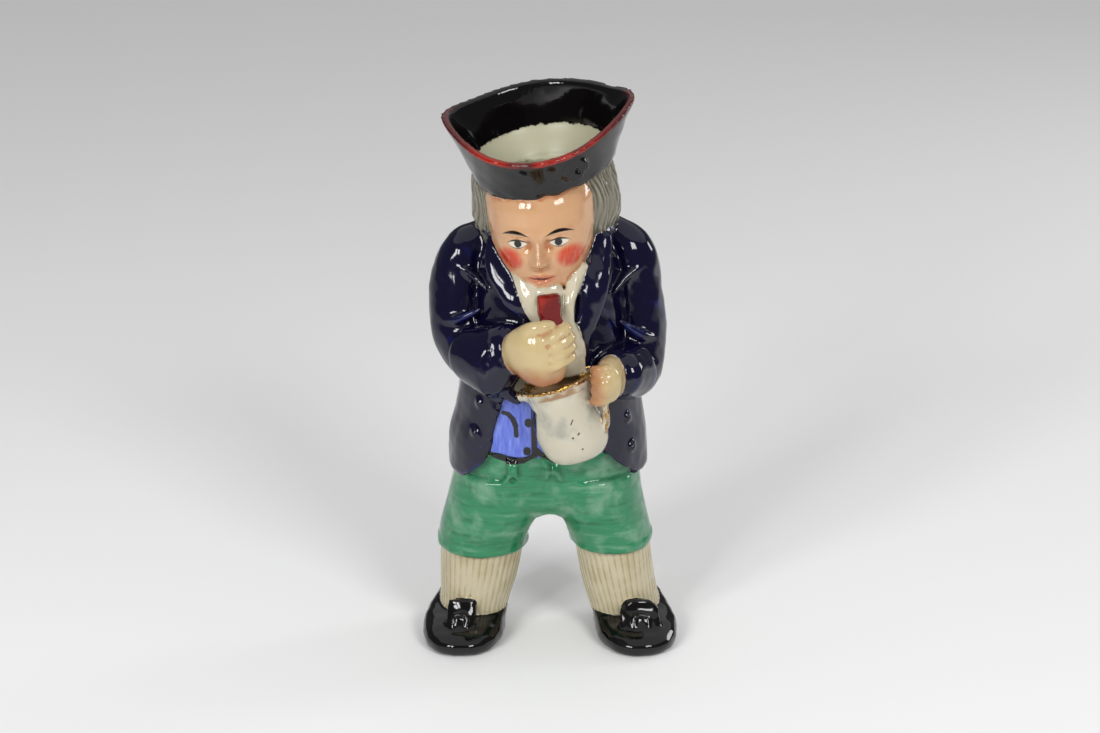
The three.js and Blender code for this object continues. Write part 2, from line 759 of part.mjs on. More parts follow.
// Rows of the upper, as in a stack, with x towards the other shoe.
const SHOE = [
  [0, 0, -8.5, 16.8, 25, 2.3],
  [1.4, 0, -8.5, 18.8, 27, 2.3],
  [5, 0, -8.5, 19.6, 28, 2.3],
  [8.6, 0.2, -7.2, 19.3, 26.2, 2.2],
  [11.4, 1.2, -3, 18.6, 22, 2.1],
  [13.2, 2.4, 2.5, 18, 17.6, 2.1],
  [15.5, 3.4, 7, 17.6, 13.2, 2.1],
];

function shoes() {
  const instep = new THREE.Vector3(0, -1, 0.6).normalize();
  return SHOES.flatMap(({ x, turn, inward, tongue }) => {
    const upper = SHOE.map(([z, aside, ...rest]) => [z, inward * aside, ...rest]);
    const leather = stack(upper, { sides: 16 });
    const [foot, low, high, end] = tongue;
    const flap = limb([
      [0, -27, 8, foot, 2.4],
      [0, -23, 12.6, low, 2.4],
      [0, -19.6, 17.4, high, 2.1],
      [0, -17.8, 21.4, end, 1.8],
    ], { sides: 6, steps: 3, up: instep });
    const buckle = new THREE.TorusGeometry(part(BUCKLE_RADIUS), part(0.8), 4, 4);
    buckle.rotateZ(Math.PI / 4);
    buckle.rotateX(degrees(BUCKLE_SLOPE));
    buckle.translate(0, part(-25.6), part(13.6));
    return [leather, flap, buckle].map((geometry) => {
      geometry.rotateZ(degrees(turn));
      geometry.translate(part(x), 0, 0);
      return geometry;
    });
  });
}

// The handle: a plain loop from the back of the hair, out behind the shoulders, down to the waist.
const BACK_Y = 34; // the coat's back between the two ends of the handle, in parts
const HANDLE_TOP = 214;
const HANDLE_FOOT = 122;

function handle() {
  const reach = BACK_Y + (HANDLE_GRIP + HANDLE_DEPTH / 2) / PART;
  const line = [
    [16, HANDLE_TOP - 4, 1.35],
    [33, HANDLE_TOP, 1.15],
    [49, HANDLE_TOP - 6, 1],
    [reach - 1, HANDLE_TOP - 25, 1],
    [reach, HANDLE_TOP - 46, 1],
    [reach - 5, HANDLE_FOOT + 24, 1],
    [46, HANDLE_FOOT + 7, 1.1],
    [26, HANDLE_FOOT - 3, 1.4],
  ];
  return limb(line.map(([y, z, flare]) => [
    0,
    y,
    z,
    (flare * HANDLE_DEPTH) / 2 / PART,
    (flare * HANDLE_WIDTH) / 2 / PART,
  ]), { sides: 8, steps: 12, up: new THREE.Vector3(1, 0, 0) });
}

// The hollow of the jug, one wall inside its skin: the mouth in the hat, the head, the trunk, the
// sleeves and the legs.
const HOLLOW = [
  [72, 0, 0, 32, 16, 2.2],
  [81, 0, 0, 37.5, 23, 2.3],
  [103, 0, 0, 38.5, 25.5, 2.3],
  [124, 0, 0.5, 35.5, 25.5, 2.2],
  [160, 0, 3.5, 32, 26, 2.2],
  [184, -0.5, 4.5, 28.5, 22, 2.1],
  [198, -1, 3, 24, 19, 2],
  [207, -1.5, 0, 21, 19.5, 2],
  [218, -2.5, -5, 23.5, 22.5, 2],
  [230, -2.5, -5, 23, 21.5, 2],
];
const LEG_HOLLOWS = [
  [
    [SOLE_FLOOR / PART, -36.5, 0.5, 12, 13],
    [28, -33.8, 0, 13.6, 14.2],
    [48, -31.8, -1, 15.2, 15.8],
    [58, -30, -0.7, 15, 17.4],
    [68, -27, -0.3, 15.6, 20],
    [80, -21, 0, 17.5, 22.5],
  ],
  [
    [SOLE_FLOOR / PART, 37, 0.5, 12, 13],
    [28, 33, 0, 13, 14.2],
    [48, 30.3, -1, 13.2, 15.8],
    [58, 28.8, -0.7, 13.4, 17.4],
    [68, 26, -0.3, 14.2, 20],
    [80, 20, 0, 17.5, 22.5],
  ],
];
const MOUTH_SIDES = 20;

function hollow() {
  const moved = (ring, up) => ring.map((point) => point.clone().add(new THREE.Vector3(0, 0, part(up))));
  const inside = (level, inset) => hatRing(level, inset, MOUTH_SIDES, false);
  const lip = inside(1, BRIM_THICKNESS);
  const mouth = onHat(skin([
    moved(inside(0, WALL + 8.5), -4),
    inside(0.1, WALL + 5),
    inside(0.3, WALL + 0.4),
    lip,
    moved(lip, 12),
  ]));
  const trunk = stack(HOLLOW, { sides: 14 });
  const arms = [RIGHT_SLEEVE, LEFT_SLEEVE].map((rows) => limb(rows.slice(1, 4), {
    steps: 3,
    up: SLEEVE_UP,
    grown: -WALL,
  }));
  const legs = LEG_HOLLOWS.map((rows) => stack(asLeg(rows), { sides: 8 }));
  return joined([mouth, trunk, ...arms, ...legs]);
}

function jug() {
  const outside = joined([
    ...hat(),
    head(),
    hair(),
    ...sleeves(),
    ...shirtFront(),
    ...cravat(),
    ...rightHand(),
    ...leftHand(),
    ...stockings(),
    ...shoes(),
    handle(),
  ])
    .add(coat())
    .add(waistcoat())
    .add(breeches())
    .add(pitcher());
  return geometryOf(largest(outside.subtract(hollow())));
}

// The finished casting stands on the floor, with the origin under its middle.
const casting = jug();
casting.computeBoundingBox();
const { min, max } = casting.boundingBox;
casting.translate(-(min.x + max.x) / 2, -(min.y + max.y) / 2, -min.z);

const glaze = new THREE.MeshStandardMaterial({ color: 0x1c1d3f, roughness: 0.12, metalness: 0 });
const tobyJug = new THREE.Mesh(casting, glaze);
tobyJug.name = 'toby_jug';

const group = new THREE.Group();
group.add(tobyJug);

export default group;
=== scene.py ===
"""A standing toby jug in glazed earthenware, modelled and painted round its packed casting.

The jug is one slip casting in the shape of a stocky man. Its forms are rebuilt here as smooth clay, given
their fine relief, hollowed, and painted under one clear glaze. Lengths named _mm are millimetres, and the
figure's own proportions are in parts of its height.
"""
import math

import bpy
import numpy as np
from bpy.props import FloatProperty, FloatVectorProperty, IntProperty, PointerProperty
from mathutils import Euler, Matrix, Vector
from mathutils.bvhtree import BVHTree
from mathutils.kdtree import KDTree


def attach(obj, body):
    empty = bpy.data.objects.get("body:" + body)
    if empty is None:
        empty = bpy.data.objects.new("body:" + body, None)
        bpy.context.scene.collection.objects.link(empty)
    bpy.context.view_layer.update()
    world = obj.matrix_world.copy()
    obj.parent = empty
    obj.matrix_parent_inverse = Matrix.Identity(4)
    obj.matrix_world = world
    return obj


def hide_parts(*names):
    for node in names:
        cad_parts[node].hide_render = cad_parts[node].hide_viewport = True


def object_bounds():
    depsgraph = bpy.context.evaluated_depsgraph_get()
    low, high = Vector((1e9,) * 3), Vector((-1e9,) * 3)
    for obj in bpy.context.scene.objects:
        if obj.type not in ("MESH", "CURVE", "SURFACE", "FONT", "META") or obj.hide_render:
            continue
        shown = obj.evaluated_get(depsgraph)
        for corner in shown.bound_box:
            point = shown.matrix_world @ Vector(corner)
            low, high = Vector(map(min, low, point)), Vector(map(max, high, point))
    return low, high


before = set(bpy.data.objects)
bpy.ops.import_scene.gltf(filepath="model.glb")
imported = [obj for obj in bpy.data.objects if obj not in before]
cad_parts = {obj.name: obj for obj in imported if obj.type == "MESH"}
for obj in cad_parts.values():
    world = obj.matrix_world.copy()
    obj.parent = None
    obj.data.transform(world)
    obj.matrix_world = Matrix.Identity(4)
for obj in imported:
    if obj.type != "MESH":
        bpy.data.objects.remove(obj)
CAD_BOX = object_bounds()

bl_info = {
    "name": "Toby jug",
    "version": (1, 0, 0),
    "blender": (4, 5, 0),
    "location": "3D View > Sidebar > Toby jug",
    "description": "Models and paints a standing toby jug round its packed casting",
    "category": "Object",
}

NODE = "toby_jug"

# Sizes that the casting shares with its source.
TALL_MM = 264.0
PARTS_TALL = 265.84
MM = PARTS_TALL / TALL_MM
PART_M = 0.001 / MM
CENTRE_M = np.array([0.000518, 0.004847, 0.0])
WALL = 4.5 * MM
BRIM = 3.6 * MM
COAT_PROUD = 3.2 * MM
SHIRT_PROUD = 1.0 * MM
HANDLE_WIDE = 12 * MM
HANDLE_DEEP = 9 * MM
HANDLE_GRIP = 23 * MM
SOLE_FLOOR = 8 * MM
BUTTON_WIDE = 2.4 * MM
BUTTON_PROUD = 1.3 * MM

UPWARD = np.array([0.0, 0.0, 1.0])
FORWARD = np.array([0.0, -1.0, 0.0])
# Angles of the rings that dome a limb's end, from its tip inwards
DOME_LIFTS = (75, 55, 35, 18)


def linear(colour):
    """An sRGB hex colour as linear red, green and blue."""
    shares = [int(colour[i:i + 2], 16) / 255 for i in (1, 3, 5)]
    return [s / 12.92 if s <= 0.04045 else ((s + 0.055) / 1.055) ** 2.4 for s in shares]


def colour_property(name, description, colour):
    return FloatVectorProperty(
        name=name, description=description, default=linear(colour), size=3, subtype="COLOR", min=0, max=1
    )


class TobySizes(bpy.types.PropertyGroup):
    """Sizes that a maker would change."""

    cell: FloatProperty(
        name="Clay cell", description="Side of the cells that the clay is worked in",
        default=0.0009, min=0.0006, max=0.004, unit="LENGTH", precision=4,
    )
    triangles: IntProperty(
        name="Triangles", description="Triangles left on the outside once the clay is finished",
        default=178000, min=20000, max=190000,
    )
    ribs: IntProperty(name="Stocking ribs", description="Ribs round one stocking", default=40, min=12, max=80)
    rib_depth: FloatProperty(
        name="Rib depth", description="Depth of the grooves between the ribs",
        default=0.00035, min=0, max=0.002, unit="LENGTH", precision=5,
    )
    strands: IntProperty(
        name="Hair strands", description="Combed strands round the hair", default=84, min=20, max=160,
    )
    strand_depth: FloatProperty(
        name="Strand depth", description="Depth of the comb marks in the hair",
        default=0.00035, min=0, max=0.002, unit="LENGTH", precision=5,
    )


class TobyColours(bpy.types.PropertyGroup):
    """Underglaze colours."""

    ground: colour_property("Ground", "White ground, bluish where cobalt bled into it", "#a9b1c0")
    cream: colour_property("Cream", "Earthenware under clear lead glaze", "#c9c0a9")
    # Shade is glaze pooling in random patches of the cream, and painted shade in its creases
    shade: colour_property("Shade", "Glaze pooled in the hollows of the cream", "#989279")
    inside: colour_property("Inside", "Greenish glaze inside the jug", "#b6b398")
    navy: colour_property("Navy", "Cobalt laid on thickly", "#0b0a26")
    # Cobalt is thin colour in random patches and on the coat's ridges, where it is also a painted sheen
    cobalt: colour_property("Cobalt", "Cobalt where it is thin", "#1c2a86")
    black: colour_property("Black", "Manganese black of the hat and shoes", "#0b090a")
    brown: colour_property("Brown", "The same black where it is thin", "#2e2420")
    red: colour_property("Red", "Iron red of the brim and the cravat", "#680906")
    orange: colour_property("Orange", "The same red where it is thin", "#b32a10")
    flesh: colour_property("Flesh", "Pale flesh wash", "#c99d76")
    # Flesh shadow is painted shade: in the creases of the face and hands, under the right hand and along the
    # left hand's fingers, with random patches of the same wash on the face
    shadow: colour_property("Flesh shadow", "Flesh wash pooled in the creases", "#a35a30")
    hand: colour_property("Hands", "Flesh wash laid thinly over the cream", "#c2ad80")
    rouge: colour_property("Rouge", "Brushed cheeks", "#c23418")
    hair: colour_property("Hair", "Olive grey wash", "#7a7565")
    # Hair grooves is the wash in the comb marks, and painted shade in the hair's creases
    hair_dark: colour_property("Hair grooves", "The same wash in the comb marks", "#4a4537")
    green: colour_property("Green", "Copper green of the breeches", "#2b7f56")
    # Dark green is also painted shade in the breeches' creases
    green_dark: colour_property("Dark green", "Copper green where it is pooled", "#165b3d")
    green_pale: colour_property("Pale green", "Copper green where it is thin", "#80a98c")
    blue: colour_property("Waistcoat", "Periwinkle wash", "#6275d2")
    blue_dark: colour_property("Waistcoat strokes", "Second stroke of the same wash", "#3a4cb4")
    gold: colour_property("Gold", "Worn gilding", "#b98a35")
    floor: colour_property("Floor", "Plain pale floor", "#f6f6f6")


# Shapes of clay


def eased(rows, places):
    """Rows of numbers read at any places of their first column, on smooth curves that never overshoot."""
    rows = np.asarray(rows, float)
    x, y = rows[:, 0], rows[:, 1:]
    gap = np.diff(x)[:, None]
    slope = np.diff(y, axis=0) / gap
    tangent = np.zeros_like(y)
    tangent[0], tangent[-1] = slope[0], slope[-1]
    if len(rows) > 2:
        before, after = slope[:-1], slope[1:]
        same_way = before * after > 0
        weight_a, weight_b = gap[:-1] + 2 * gap[1:], 2 * gap[:-1] + gap[1:]
        safe_before = np.where(same_way, before, 1)
        safe_after = np.where(same_way, after, 1)
        mean = (weight_a + weight_b) / (weight_b / safe_before + weight_a / safe_after)
        tangent[1:-1] = np.where(same_way, mean, 0)
    places = np.asarray(places, float)
    span = np.clip(np.searchsorted(x, places, side="right") - 1, 0, len(x) - 2)
    t = ((places - x[span]) / (x[span + 1] - x[span]))[:, None]
    h = gap[span]
    return (
        (2 * t**3 - 3 * t**2 + 1) * y[span] + (t**3 - 2 * t**2 + t) * h * tangent[span]
        + (3 * t**2 - 2 * t**3) * y[span + 1] + (t**3 - t**2) * h * tangent[span + 1]
    )


def spline(points, places):
    """Points and tangents along a centripetal curve through the given points, at places from 0 to 1."""
    points = np.asarray(points, float)
    ends = np.vstack([2 * points[0] - points[1], points, 2 * points[-1] - points[-2]])
    along = np.clip(np.asarray(places) * (len(points) - 1), 0, len(points) - 1 - 1e-9)
    span = along.astype(int)
    t = (along - span)[:, None]
    p0, p1, p2, p3 = (ends[span + k] for k in range(4))
    step = [np.sqrt(np.linalg.norm(b - a, axis=1))[:, None] for a, b in ((p0, p1), (p1, p2), (p2, p3))]
    out = ((p1 - p0) / step[0] - (p2 - p0) / (step[0] + step[1]) + (p2 - p1) / step[1]) * step[1]
    into = ((p2 - p1) / step[1] - (p3 - p1) / (step[1] + step[2]) + (p3 - p2) / step[2]) * step[1]
    c2, c3 = -3 * p1 + 3 * p2 - 2 * out - into, 2 * p1 - 2 * p2 + out + into
    return p1 + out * t + c2 * t**2 + c3 * t**3, out + 2 * c2 * t + 3 * c3 * t**2


def unit(vectors):
    return vectors / np.linalg.norm(vectors, axis=-1, keepdims=True)


def skin(rings):
    """A closed skin over a stack of rings, as points and faces that look outwards."""
    rings = np.asarray(rings)
    levels, sides, _ = rings.shape
    points = np.vstack([rings.reshape(-1, 3), rings[0].mean(0), rings[-1].mean(0)])
    side = np.arange(sides)
    after = (side + 1) % sides
    low = np.arange(levels - 1)[:, None] * sides
    quads = np.stack([low + side, low + after, low + sides + after, low + sides + side], -1).reshape(-1, 4)
    top = (levels - 1) * sides
    foot_fan = np.stack([np.full(sides, levels * sides), after, side], -1)
    head_fan = np.stack([np.full(sides, levels * sides + 1), top + side, top + after], -1)
    return points, quads.tolist() + foot_fan.tolist() + head_fan.tolist()


def oval(turn, power):
    """How far a squared oval reaches along each turn."""
    return (np.abs(np.cos(turn)) ** power + np.abs(np.sin(turn)) ** power) ** (-1 / power)


def stack(rows, sides=120, grown=0.0, ripple=0.0, ripples=0, step=1.6):
    """Rows of [height, x, y, half width, half depth, power] as a smooth closed stack."""
    heights = [row[0] for row in rows]
    count = max(4, int((heights[-1] - heights[0]) / step))
    places = np.unique(np.concatenate([np.linspace(heights[0], heights[-1], count), heights]))
    x, y, wide, deep, power = eased(rows, places).T[:, :, None]
    turn = np.linspace(0, 2 * math.pi, sides, endpoint=False)[None, :]
    reach = oval(turn, power)
    wave = ripple * np.cos(ripples * turn)
    rings = np.stack([
        x + ((wide + grown) * reach + wave) * np.cos(turn),
        y + ((deep + grown) * reach + wave) * np.sin(turn),
        np.broadcast_to(places[:, None], reach.shape),
    ], -1)
    return skin(rings)


def limb(rows, sides=28, up=UPWARD, grown=0.0, rounded=0.0, step=1.0):
    """Rows of [x, y, z, half width, half depth] as a smooth closed limb, with its ends domed by a share."""
    rows = np.asarray(rows, float)
    length = np.linalg.norm(np.diff(rows[:, :3], axis=0), axis=1).sum()
    places = np.linspace(0, 1, max(6, int(length / step)))
    centre, tangent = spline(rows[:, :3], places)
    tangent = unit(tangent)
    size = eased(np.column_stack([np.linspace(0, 1, len(rows)), rows[:, 3:]]), places) + grown
    if rounded:
        lift = np.radians(DOME_LIFTS)
        dome = size[[0]] * rounded
        first = centre[0] - tangent[0] * dome.min() * np.sin(lift)[:, None]
        last = centre[-1] + tangent[-1] * size[-1].min() * rounded * np.sin(lift[::-1])[:, None]
        centre = np.vstack([first, centre, last])
        tangent = np.vstack([np.repeat(tangent[:1], 4, 0), tangent, np.repeat(tangent[-1:], 4, 0)])
        shrink = np.cos(lift)[:, None]
        size = np.vstack([size[[0]] * shrink, size, size[[-1]] * shrink[::-1]])
    up = np.asarray(up, float)
    deep_way = unit(up - (tangent @ up)[:, None] * tangent)
    wide_way = np.cross(deep_way, tangent)
    turn = np.linspace(0, 2 * math.pi, sides, endpoint=False)[None, :, None]
    rings = (
        centre[:, None] + wide_way[:, None] * size[:, 0, None, None] * np.cos(turn)
        + deep_way[:, None] * size[:, 1, None, None] * np.sin(turn)
    )
    return skin(rings)


def ball(centre, half, sides=24):
    """A ball stretched to its half sizes."""
    lift = np.linspace(-math.pi / 2, math.pi / 2, sides // 2 + 1)[1:-1, None]
    turn = np.linspace(0, 2 * math.pi, sides, endpoint=False)[None, :]
    rings = np.stack([
        np.cos(lift) * np.cos(turn), np.cos(lift) * np.sin(turn),
        np.broadcast_to(np.sin(lift), (len(lift), sides)),
    ], -1)
    points, faces = skin(rings)
    points[-2:] = [0, 0, -1], [0, 0, 1]
    return points * half + centre, faces


def smooth_outline(outline, each=6):
    """A closed outline through the given corners, each span in equal steps of a uniform curve."""
    p = np.asarray(outline, float)
    before, after, beyond = np.roll(p, 1, 0), np.roll(p, -1, 0), np.roll(p, -2, 0)
    t = (np.arange(each) / each)[None, :, None]
    p, before, after, beyond = (a[:, None] for a in (p, before, after, beyond))
    line = 0.5 * (
        2 * p + (after - before) * t + (2 * before - 5 * p + 4 * after - beyond) * t**2
        + (3 * p - before - 3 * after + beyond) * t**3
    )
    return line.reshape(-1, 2)


def front_cut(outline, front, back):
    """A front view outline pushed through from one depth to another."""
    line = smooth_outline(outline)
    rings = [np.column_stack([line[:, 0], np.full(len(line), y), line[:, 1]]) for y in (front, back)]
    points = np.vstack(rings)
    n = len(line)
    side = np.arange(n)
    after = (side + 1) % n
    walls = np.stack([side, after, n + after, n + side], -1).tolist()
    return points, [*walls, side[::-1].tolist(), (n + side).tolist()]


def place(shape, nod, lean, turn, centre):
    """A shape turned about its own origin, in degrees, and moved to its centre."""
    points, faces = shape
    turned = Euler([math.radians(a) for a in (nod, lean, turn)], "XYZ").to_matrix()
    return points @ np.array(turned).T + centre, faces


def piece(name, shapes):
    """One object of several closed skins, with its place in its mesh, in metres."""
    points, faces, start = [], [], 0
    for some, polygons in shapes:
        points.append(some)
        faces.extend([[corner + start for corner in face] for face in polygons])
        start += len(some)
    mesh = bpy.data.meshes.new(name)
    mesh.from_pydata((np.vstack(points) * PART_M - CENTRE_M).tolist(), [], faces)
    made = bpy.data.objects.new(name, mesh)
    bpy.context.scene.collection.objects.link(made)
    only(made)
    bpy.ops.object.mode_set(mode="EDIT")
    bpy.ops.mesh.select_all(action="SELECT")
    bpy.ops.mesh.normals_make_consistent(inside=False)
    bpy.ops.object.mode_set(mode="OBJECT")
    return made


def only(made, *others):
    """Selects these objects alone, the first as the active one."""
    bpy.ops.object.select_all(action="DESELECT")
    for some in (made, *others):
        some.select_set(True)
    bpy.context.view_layer.objects.active = made


def modified(made, kind, **settings):
    """The object with one modifier added and applied."""
    only(made)
    bpy.ops.object.modifier_add(type=kind)
    modifier = made.modifiers[-1]
    for name, value in settings.items():
        setattr(modifier, name, value)
    if bpy.ops.object.modifier_apply(modifier=modifier.name) != {"FINISHED"}:
        raise RuntimeError(f"{kind} could not be applied to {made.name}")
    return made


def carved(made, cutter):
    """The object less the cutter, which is used up."""
    before = len(made.data.polygons)
    modified(made, "BOOLEAN", operation="DIFFERENCE", object=cutter, solver="MANIFOLD")
    if len(made.data.polygons) in (0, before):
        raise RuntimeError(f"{cutter.name} left {made.name} as it was, or took all of it")
    bpy.data.objects.remove(cutter)
    return made


# Head and hat. The head leans forward, to the figure's right, and turns a little the same way

HEAD_PLACE = (8, -5, -6, (-2.5, -11, 209))
HAT_PLACE = (11, -7, -6, (-1.5, -5.5, 230))
HAT_SCALLOPS = 17
HAT_FOOT_RISE = 3.5
HAT_HALF = 32
HAT_SIDE_FLARE = 7
HAT_CORNER_FLARE = 5.2
HAT_FRONT_FLARE = 7.5
HAT_BACK_FLARE = 4
HAT_RISE = 27.5
HAT_FRONT_DIP = 7.5


def hat_ring(level, inset, sides=204, scalloped=True):
    turn = np.linspace(0, 2 * math.pi, sides, endpoint=False)
    cos, sin = np.cos(turn), np.sin(turn)
    front, back = np.maximum(0, -sin), np.maximum(0, sin)
    corner = np.abs(cos) ** 7
    flare = level**1.25
    fading = max(0, 1 - level / 0.12)
    scallop = 0.7 * fading * np.cos(HAT_SCALLOPS * turn) if scalloped else 0
    lifted = HAT_FOOT_RISE * (1 - level) * ((1 + cos) / 2) ** 2 if scalloped else 0
    wide = HAT_HALF + (HAT_SIDE_FLARE + HAT_CORNER_FLARE * corner) * flare + scallop
    deep = HAT_HALF + (HAT_FRONT_FLARE * front + HAT_BACK_FLARE * back) * flare + scallop
    rise = HAT_RISE + 1.5 * corner - HAT_FRONT_DIP * front**1.5 + back
    up = rise * level + scallop + lifted
    return np.column_stack([(wide - inset) * cos, (deep - inset) * sin + 5 * corner * flare, up])


def hat():
    levels = np.concatenate([[0, 0.03, 0.06, 0.09], np.linspace(0.12, 1, 28)])
    return place(skin([hat_ring(level, 0) for level in levels]), *HAT_PLACE)


def hat_mouth():
    """The clear space inside the hat."""
    def inside(level, inset, up=0.0):
        return hat_ring(level, inset, scalloped=False) + [0, 0, up]

    rings = [inside(0, WALL + 8.5 * MM, -4), inside(0, WALL + 7.4 * MM, -1)]
    rings += [inside(0.1, WALL + 4.6 * MM), inside(0.2, WALL + 2.2 * MM)]
    for level in np.linspace(0.3, 1, 24):
        share = (level - 0.3) / 0.7
        rings.append(inside(level, WALL + 0.4 * MM * (1 - share) + (BRIM - WALL) * share))
    return place(skin([*rings, inside(1, BRIM, 12)]), *HAT_PLACE)


def cockade():
    coil = []
    for step in range(25):
        share = step / 24
        turn = share * 1.75 * 2 * math.pi
        radius = 5.6 - 4.4 * share
        across = radius * math.cos(turn)
        coil.append([17.5 + across * 0.85, -31.6 + across * 0.42, 12 + radius * math.sin(turn), 1.2, 1.5])
    shape = limb(coil, sides=16, up=unit(np.array([0.45, -1, 0])), rounded=0.6)
    return place(shape, *HAT_PLACE)


HEAD = [
    [-28, 0, -15.5, 5, 6, 2],
    [-26, 0, -14.5, 10.5, 11, 2],
    [-21, 0, -11, 15.8, 16.5, 2],
    [-14, 0, -7.5, 19.6, 20.5, 2.1],
    [-6, 0, -4.5, 22.6, 23.5, 2.1],
    [3, 0, -2, 24.2, 25.5, 2.1],
    [12, 0, 0, 24.6, 25.5, 2.1],
    [21, 0, 2, 23.5, 23.5, 2],
    [29, 0, 3, 23.5, 23, 2],
]
CHIN_Z = -27
HAIRLINE_Z = 17
THIRD = (HAIRLINE_Z - CHIN_Z) / 3
NOSE_BASE_Z = CHIN_Z + THIRD
BROW_Z = NOSE_BASE_Z + THIRD
HEAD_WIDE = 46
EYE_WIDE = HEAD_WIDE / 5
EYE_Z = BROW_Z - 3.6
MOUTH_Z = NOSE_BASE_Z - THIRD / 3

# How far each feature stands out: [x, z, reach across, reach up, height]
FEATURES = [
    [0, BROW_Z - 5, 2, 5, 2.2],
    [0, NOSE_BASE_Z + 5.5, 2.2, 4, 3.4],
    [0, NOSE_BASE_Z + 2.6, 2.7, 2.2, 3.6],
    [0, MOUTH_Z + 1.1, 5, 1.1, 1.5],
    [0, MOUTH_Z - 1.9, 4.4, 1.3, 1.6],
    [0, MOUTH_Z - 0.3, 5.5, 0.5, -0.7],
    [0, MOUTH_Z - 5, 4.5, 1.6, -0.7],
    [0, CHIN_Z + 4.5, 5.5, 4, 2],
    [3.1, NOSE_BASE_Z + 2.2, 1.5, 1.7, 2],
    [4.6, BROW_Z - 4.6, 2.6, 2.6, -1.9],
    [EYE_WIDE, EYE_Z, 5.6, 3.4, -2.2],
    [EYE_WIDE, EYE_Z, 3.9, 2, 2.6],
    [9.5, BROW_Z + 0.8, 6, 1.6, 1.4],
    [13, NOSE_BASE_Z + 4.5, 5, 4.5, 1.5],
]
# Fine features, worked in once the clay is fine enough: lids, lips and nostrils
FINE_FEATURES = [
    [EYE_WIDE, EYE_Z + 1.9, 3.9, 0.5, 0.55],
    [EYE_WIDE, EYE_Z - 1.8, 3.6, 0.45, 0.4],
    [EYE_WIDE, EYE_Z + 3.2, 4.2, 0.5, -0.45],
    [0, MOUTH_Z - 0.2, 5.6, 0.4, -0.8],
    [0, MOUTH_Z + 3.3, 1.0, 1.6, -0.45],
    [1.7, NOSE_BASE_Z + 0.6, 0.8, 0.5, -0.8],
    [4.9, NOSE_BASE_Z + 2.6, 0.5, 1.7, -0.5],
]


def face_relief(features, x, z):
    total = np.zeros(np.broadcast(x, z).shape)
    for across, up, wide, tall, height in features:
        total += height * np.exp(-(((np.abs(x) - across) / wide) ** 2) - ((z - up) / tall) ** 2)
    return total


def head():
    z = np.linspace(HEAD[0][0], HEAD[-1][0], 90)[:, None]
    share = np.linspace(-1, 1, 180, endpoint=False)[None, :]
    turn = -math.pi / 2 + math.pi * (0.4 * share + 0.6 * share**3)
    _, y, wide, deep, power = eased(HEAD, z[:, 0]).T[:, :, None]
    reach = oval(turn, power)
    x = wide * reach * np.cos(turn)
    forward = np.where(np.sin(turn) < 0, face_relief(FEATURES, x, z) * np.sin(turn) ** 2, 0)
    rings = np.stack([x, y + deep * reach * np.sin(turn) - forward, np.broadcast_to(z, x.shape)], -1)
    return place(skin(rings), *HEAD_PLACE)


HAIR = [
    [-21, 0.5, 9, 21, 18, 2],
    [-16, 0.5, 10, 27, 22, 2],
    [-9, 0.5, 10, 30.6, 24, 2],
    [0, 0.5, 10, 33.6, 25.4, 2],
    [15, 0.5, 11, 32.5, 26, 2],
    [36, 0.5, 14, 28, 25, 2],
]

# Coat. It hangs open, with its fronts cut away below

COAT_OPENING = [
    [-50, 70], [-44, 82], [-36.5, 89.7], [-30.6, 95.5], [-27, 103], [-25.5, 113], [-20.9, 128], [-7, 172],
    [-13.5, 190], [-25.5, 215], [21.5, 215], [21, 190], [12.5, 165], [12, 150], [19.6, 128], [22.6, 109],
    [24.8, 104], [30.3, 97.2], [36.6, 91.2], [45, 83], [51, 70],
]
COAT = [
    [86, -0.5, 0, 42.3, 29.3, 2.3],
    [87.5, -0.5, 0, 43.3, 30.3, 2.3],
    [101, -0.5, 0, 42.8, 30.5, 2.4],
    [117, 0, 0.3, 39.6, 30, 2.4],
    [142, 0, 2, 36.5, 30, 2.3],
    [183, 0, 4.4, 33, 26.8, 2.1],
    [197, -0.5, 3, 27, 22.5, 2],
    [207, -1.5, -0.5, 21, 18.5, 2],
]


def collar_and_lapels():
    out = unit(np.array([0, -1, 0.25]))
    return [
        limb([
            [-22, -17, 199, 3.5, 3], [-27, -4, 204, 4.5, 3.5], [-20, 15, 207, 5, 4], [0, 25, 207, 5.5, 4],
            [19, 15, 207, 5, 4], [26, -4, 205, 4.5, 3.5], [22, -17, 200, 3.5, 3],
        ]),
        limb([
            [-23, -17, 201, 5, 2.6], [-22.2, -24.4, 190, 6.5, 2.8], [-16, -32, 178, 5.5, 2.8],
            [-8.5, -35.5, 169, 1.4, 1.6],
        ], up=out, rounded=0.4),
        limb([
            [23.5, -15.5, 202, 5, 3], [21.4, -22.5, 190, 6.5, 4], [19.2, -29, 180, 7.2, 4.5],
            [17, -31, 170, 6.4, 4.5],
            [15.2, -33, 160, 4.6, 4], [15.5, -35, 152, 1.8, 2],
        ], up=out, rounded=0.4),
    ]


# Each button's x and height, and the side it sits on: -1 in front, 1 behind
BUTTONS = ((-32.5, 124, -1), (-34.5, 110, -1), (36.5, 116, -1), (39, 102, -1), (-11, 126, 1), (11, 126, 1))


def buttons():
    made = []
    for x, z, side in BUTTONS:
        _, y, wide, deep, power = eased(COAT, [z])[0]
        share = abs(x) / (wide + COAT_PROUD)
        surface = y + side * (deep + COAT_PROUD) * (1 - share**power) ** (1 / power)
        points, faces = ball((0, 0, 0), (BUTTON_WIDE, BUTTON_PROUD, BUTTON_WIDE))
        normal = Vector((x * share, side * deep * (1 - share**2), 0)).normalized()
        turned = np.array(Vector(FORWARD).rotation_difference(normal).to_matrix())
        made.append((points @ turned.T + (x, surface, z), faces))
    return made


def back_pleats():
    return [limb([
        [x, 31 - abs(x) * 0.17, 126, 1, 1.4],
        [x * 1.05, 33 - abs(x) * 0.2, 108, 2.4, 2.2],
        [x * 1.1, 33.5 - abs(x) * 0.24, 89, 3, 2.2],
    ], up=FORWARD) for x in (-11, 11)]


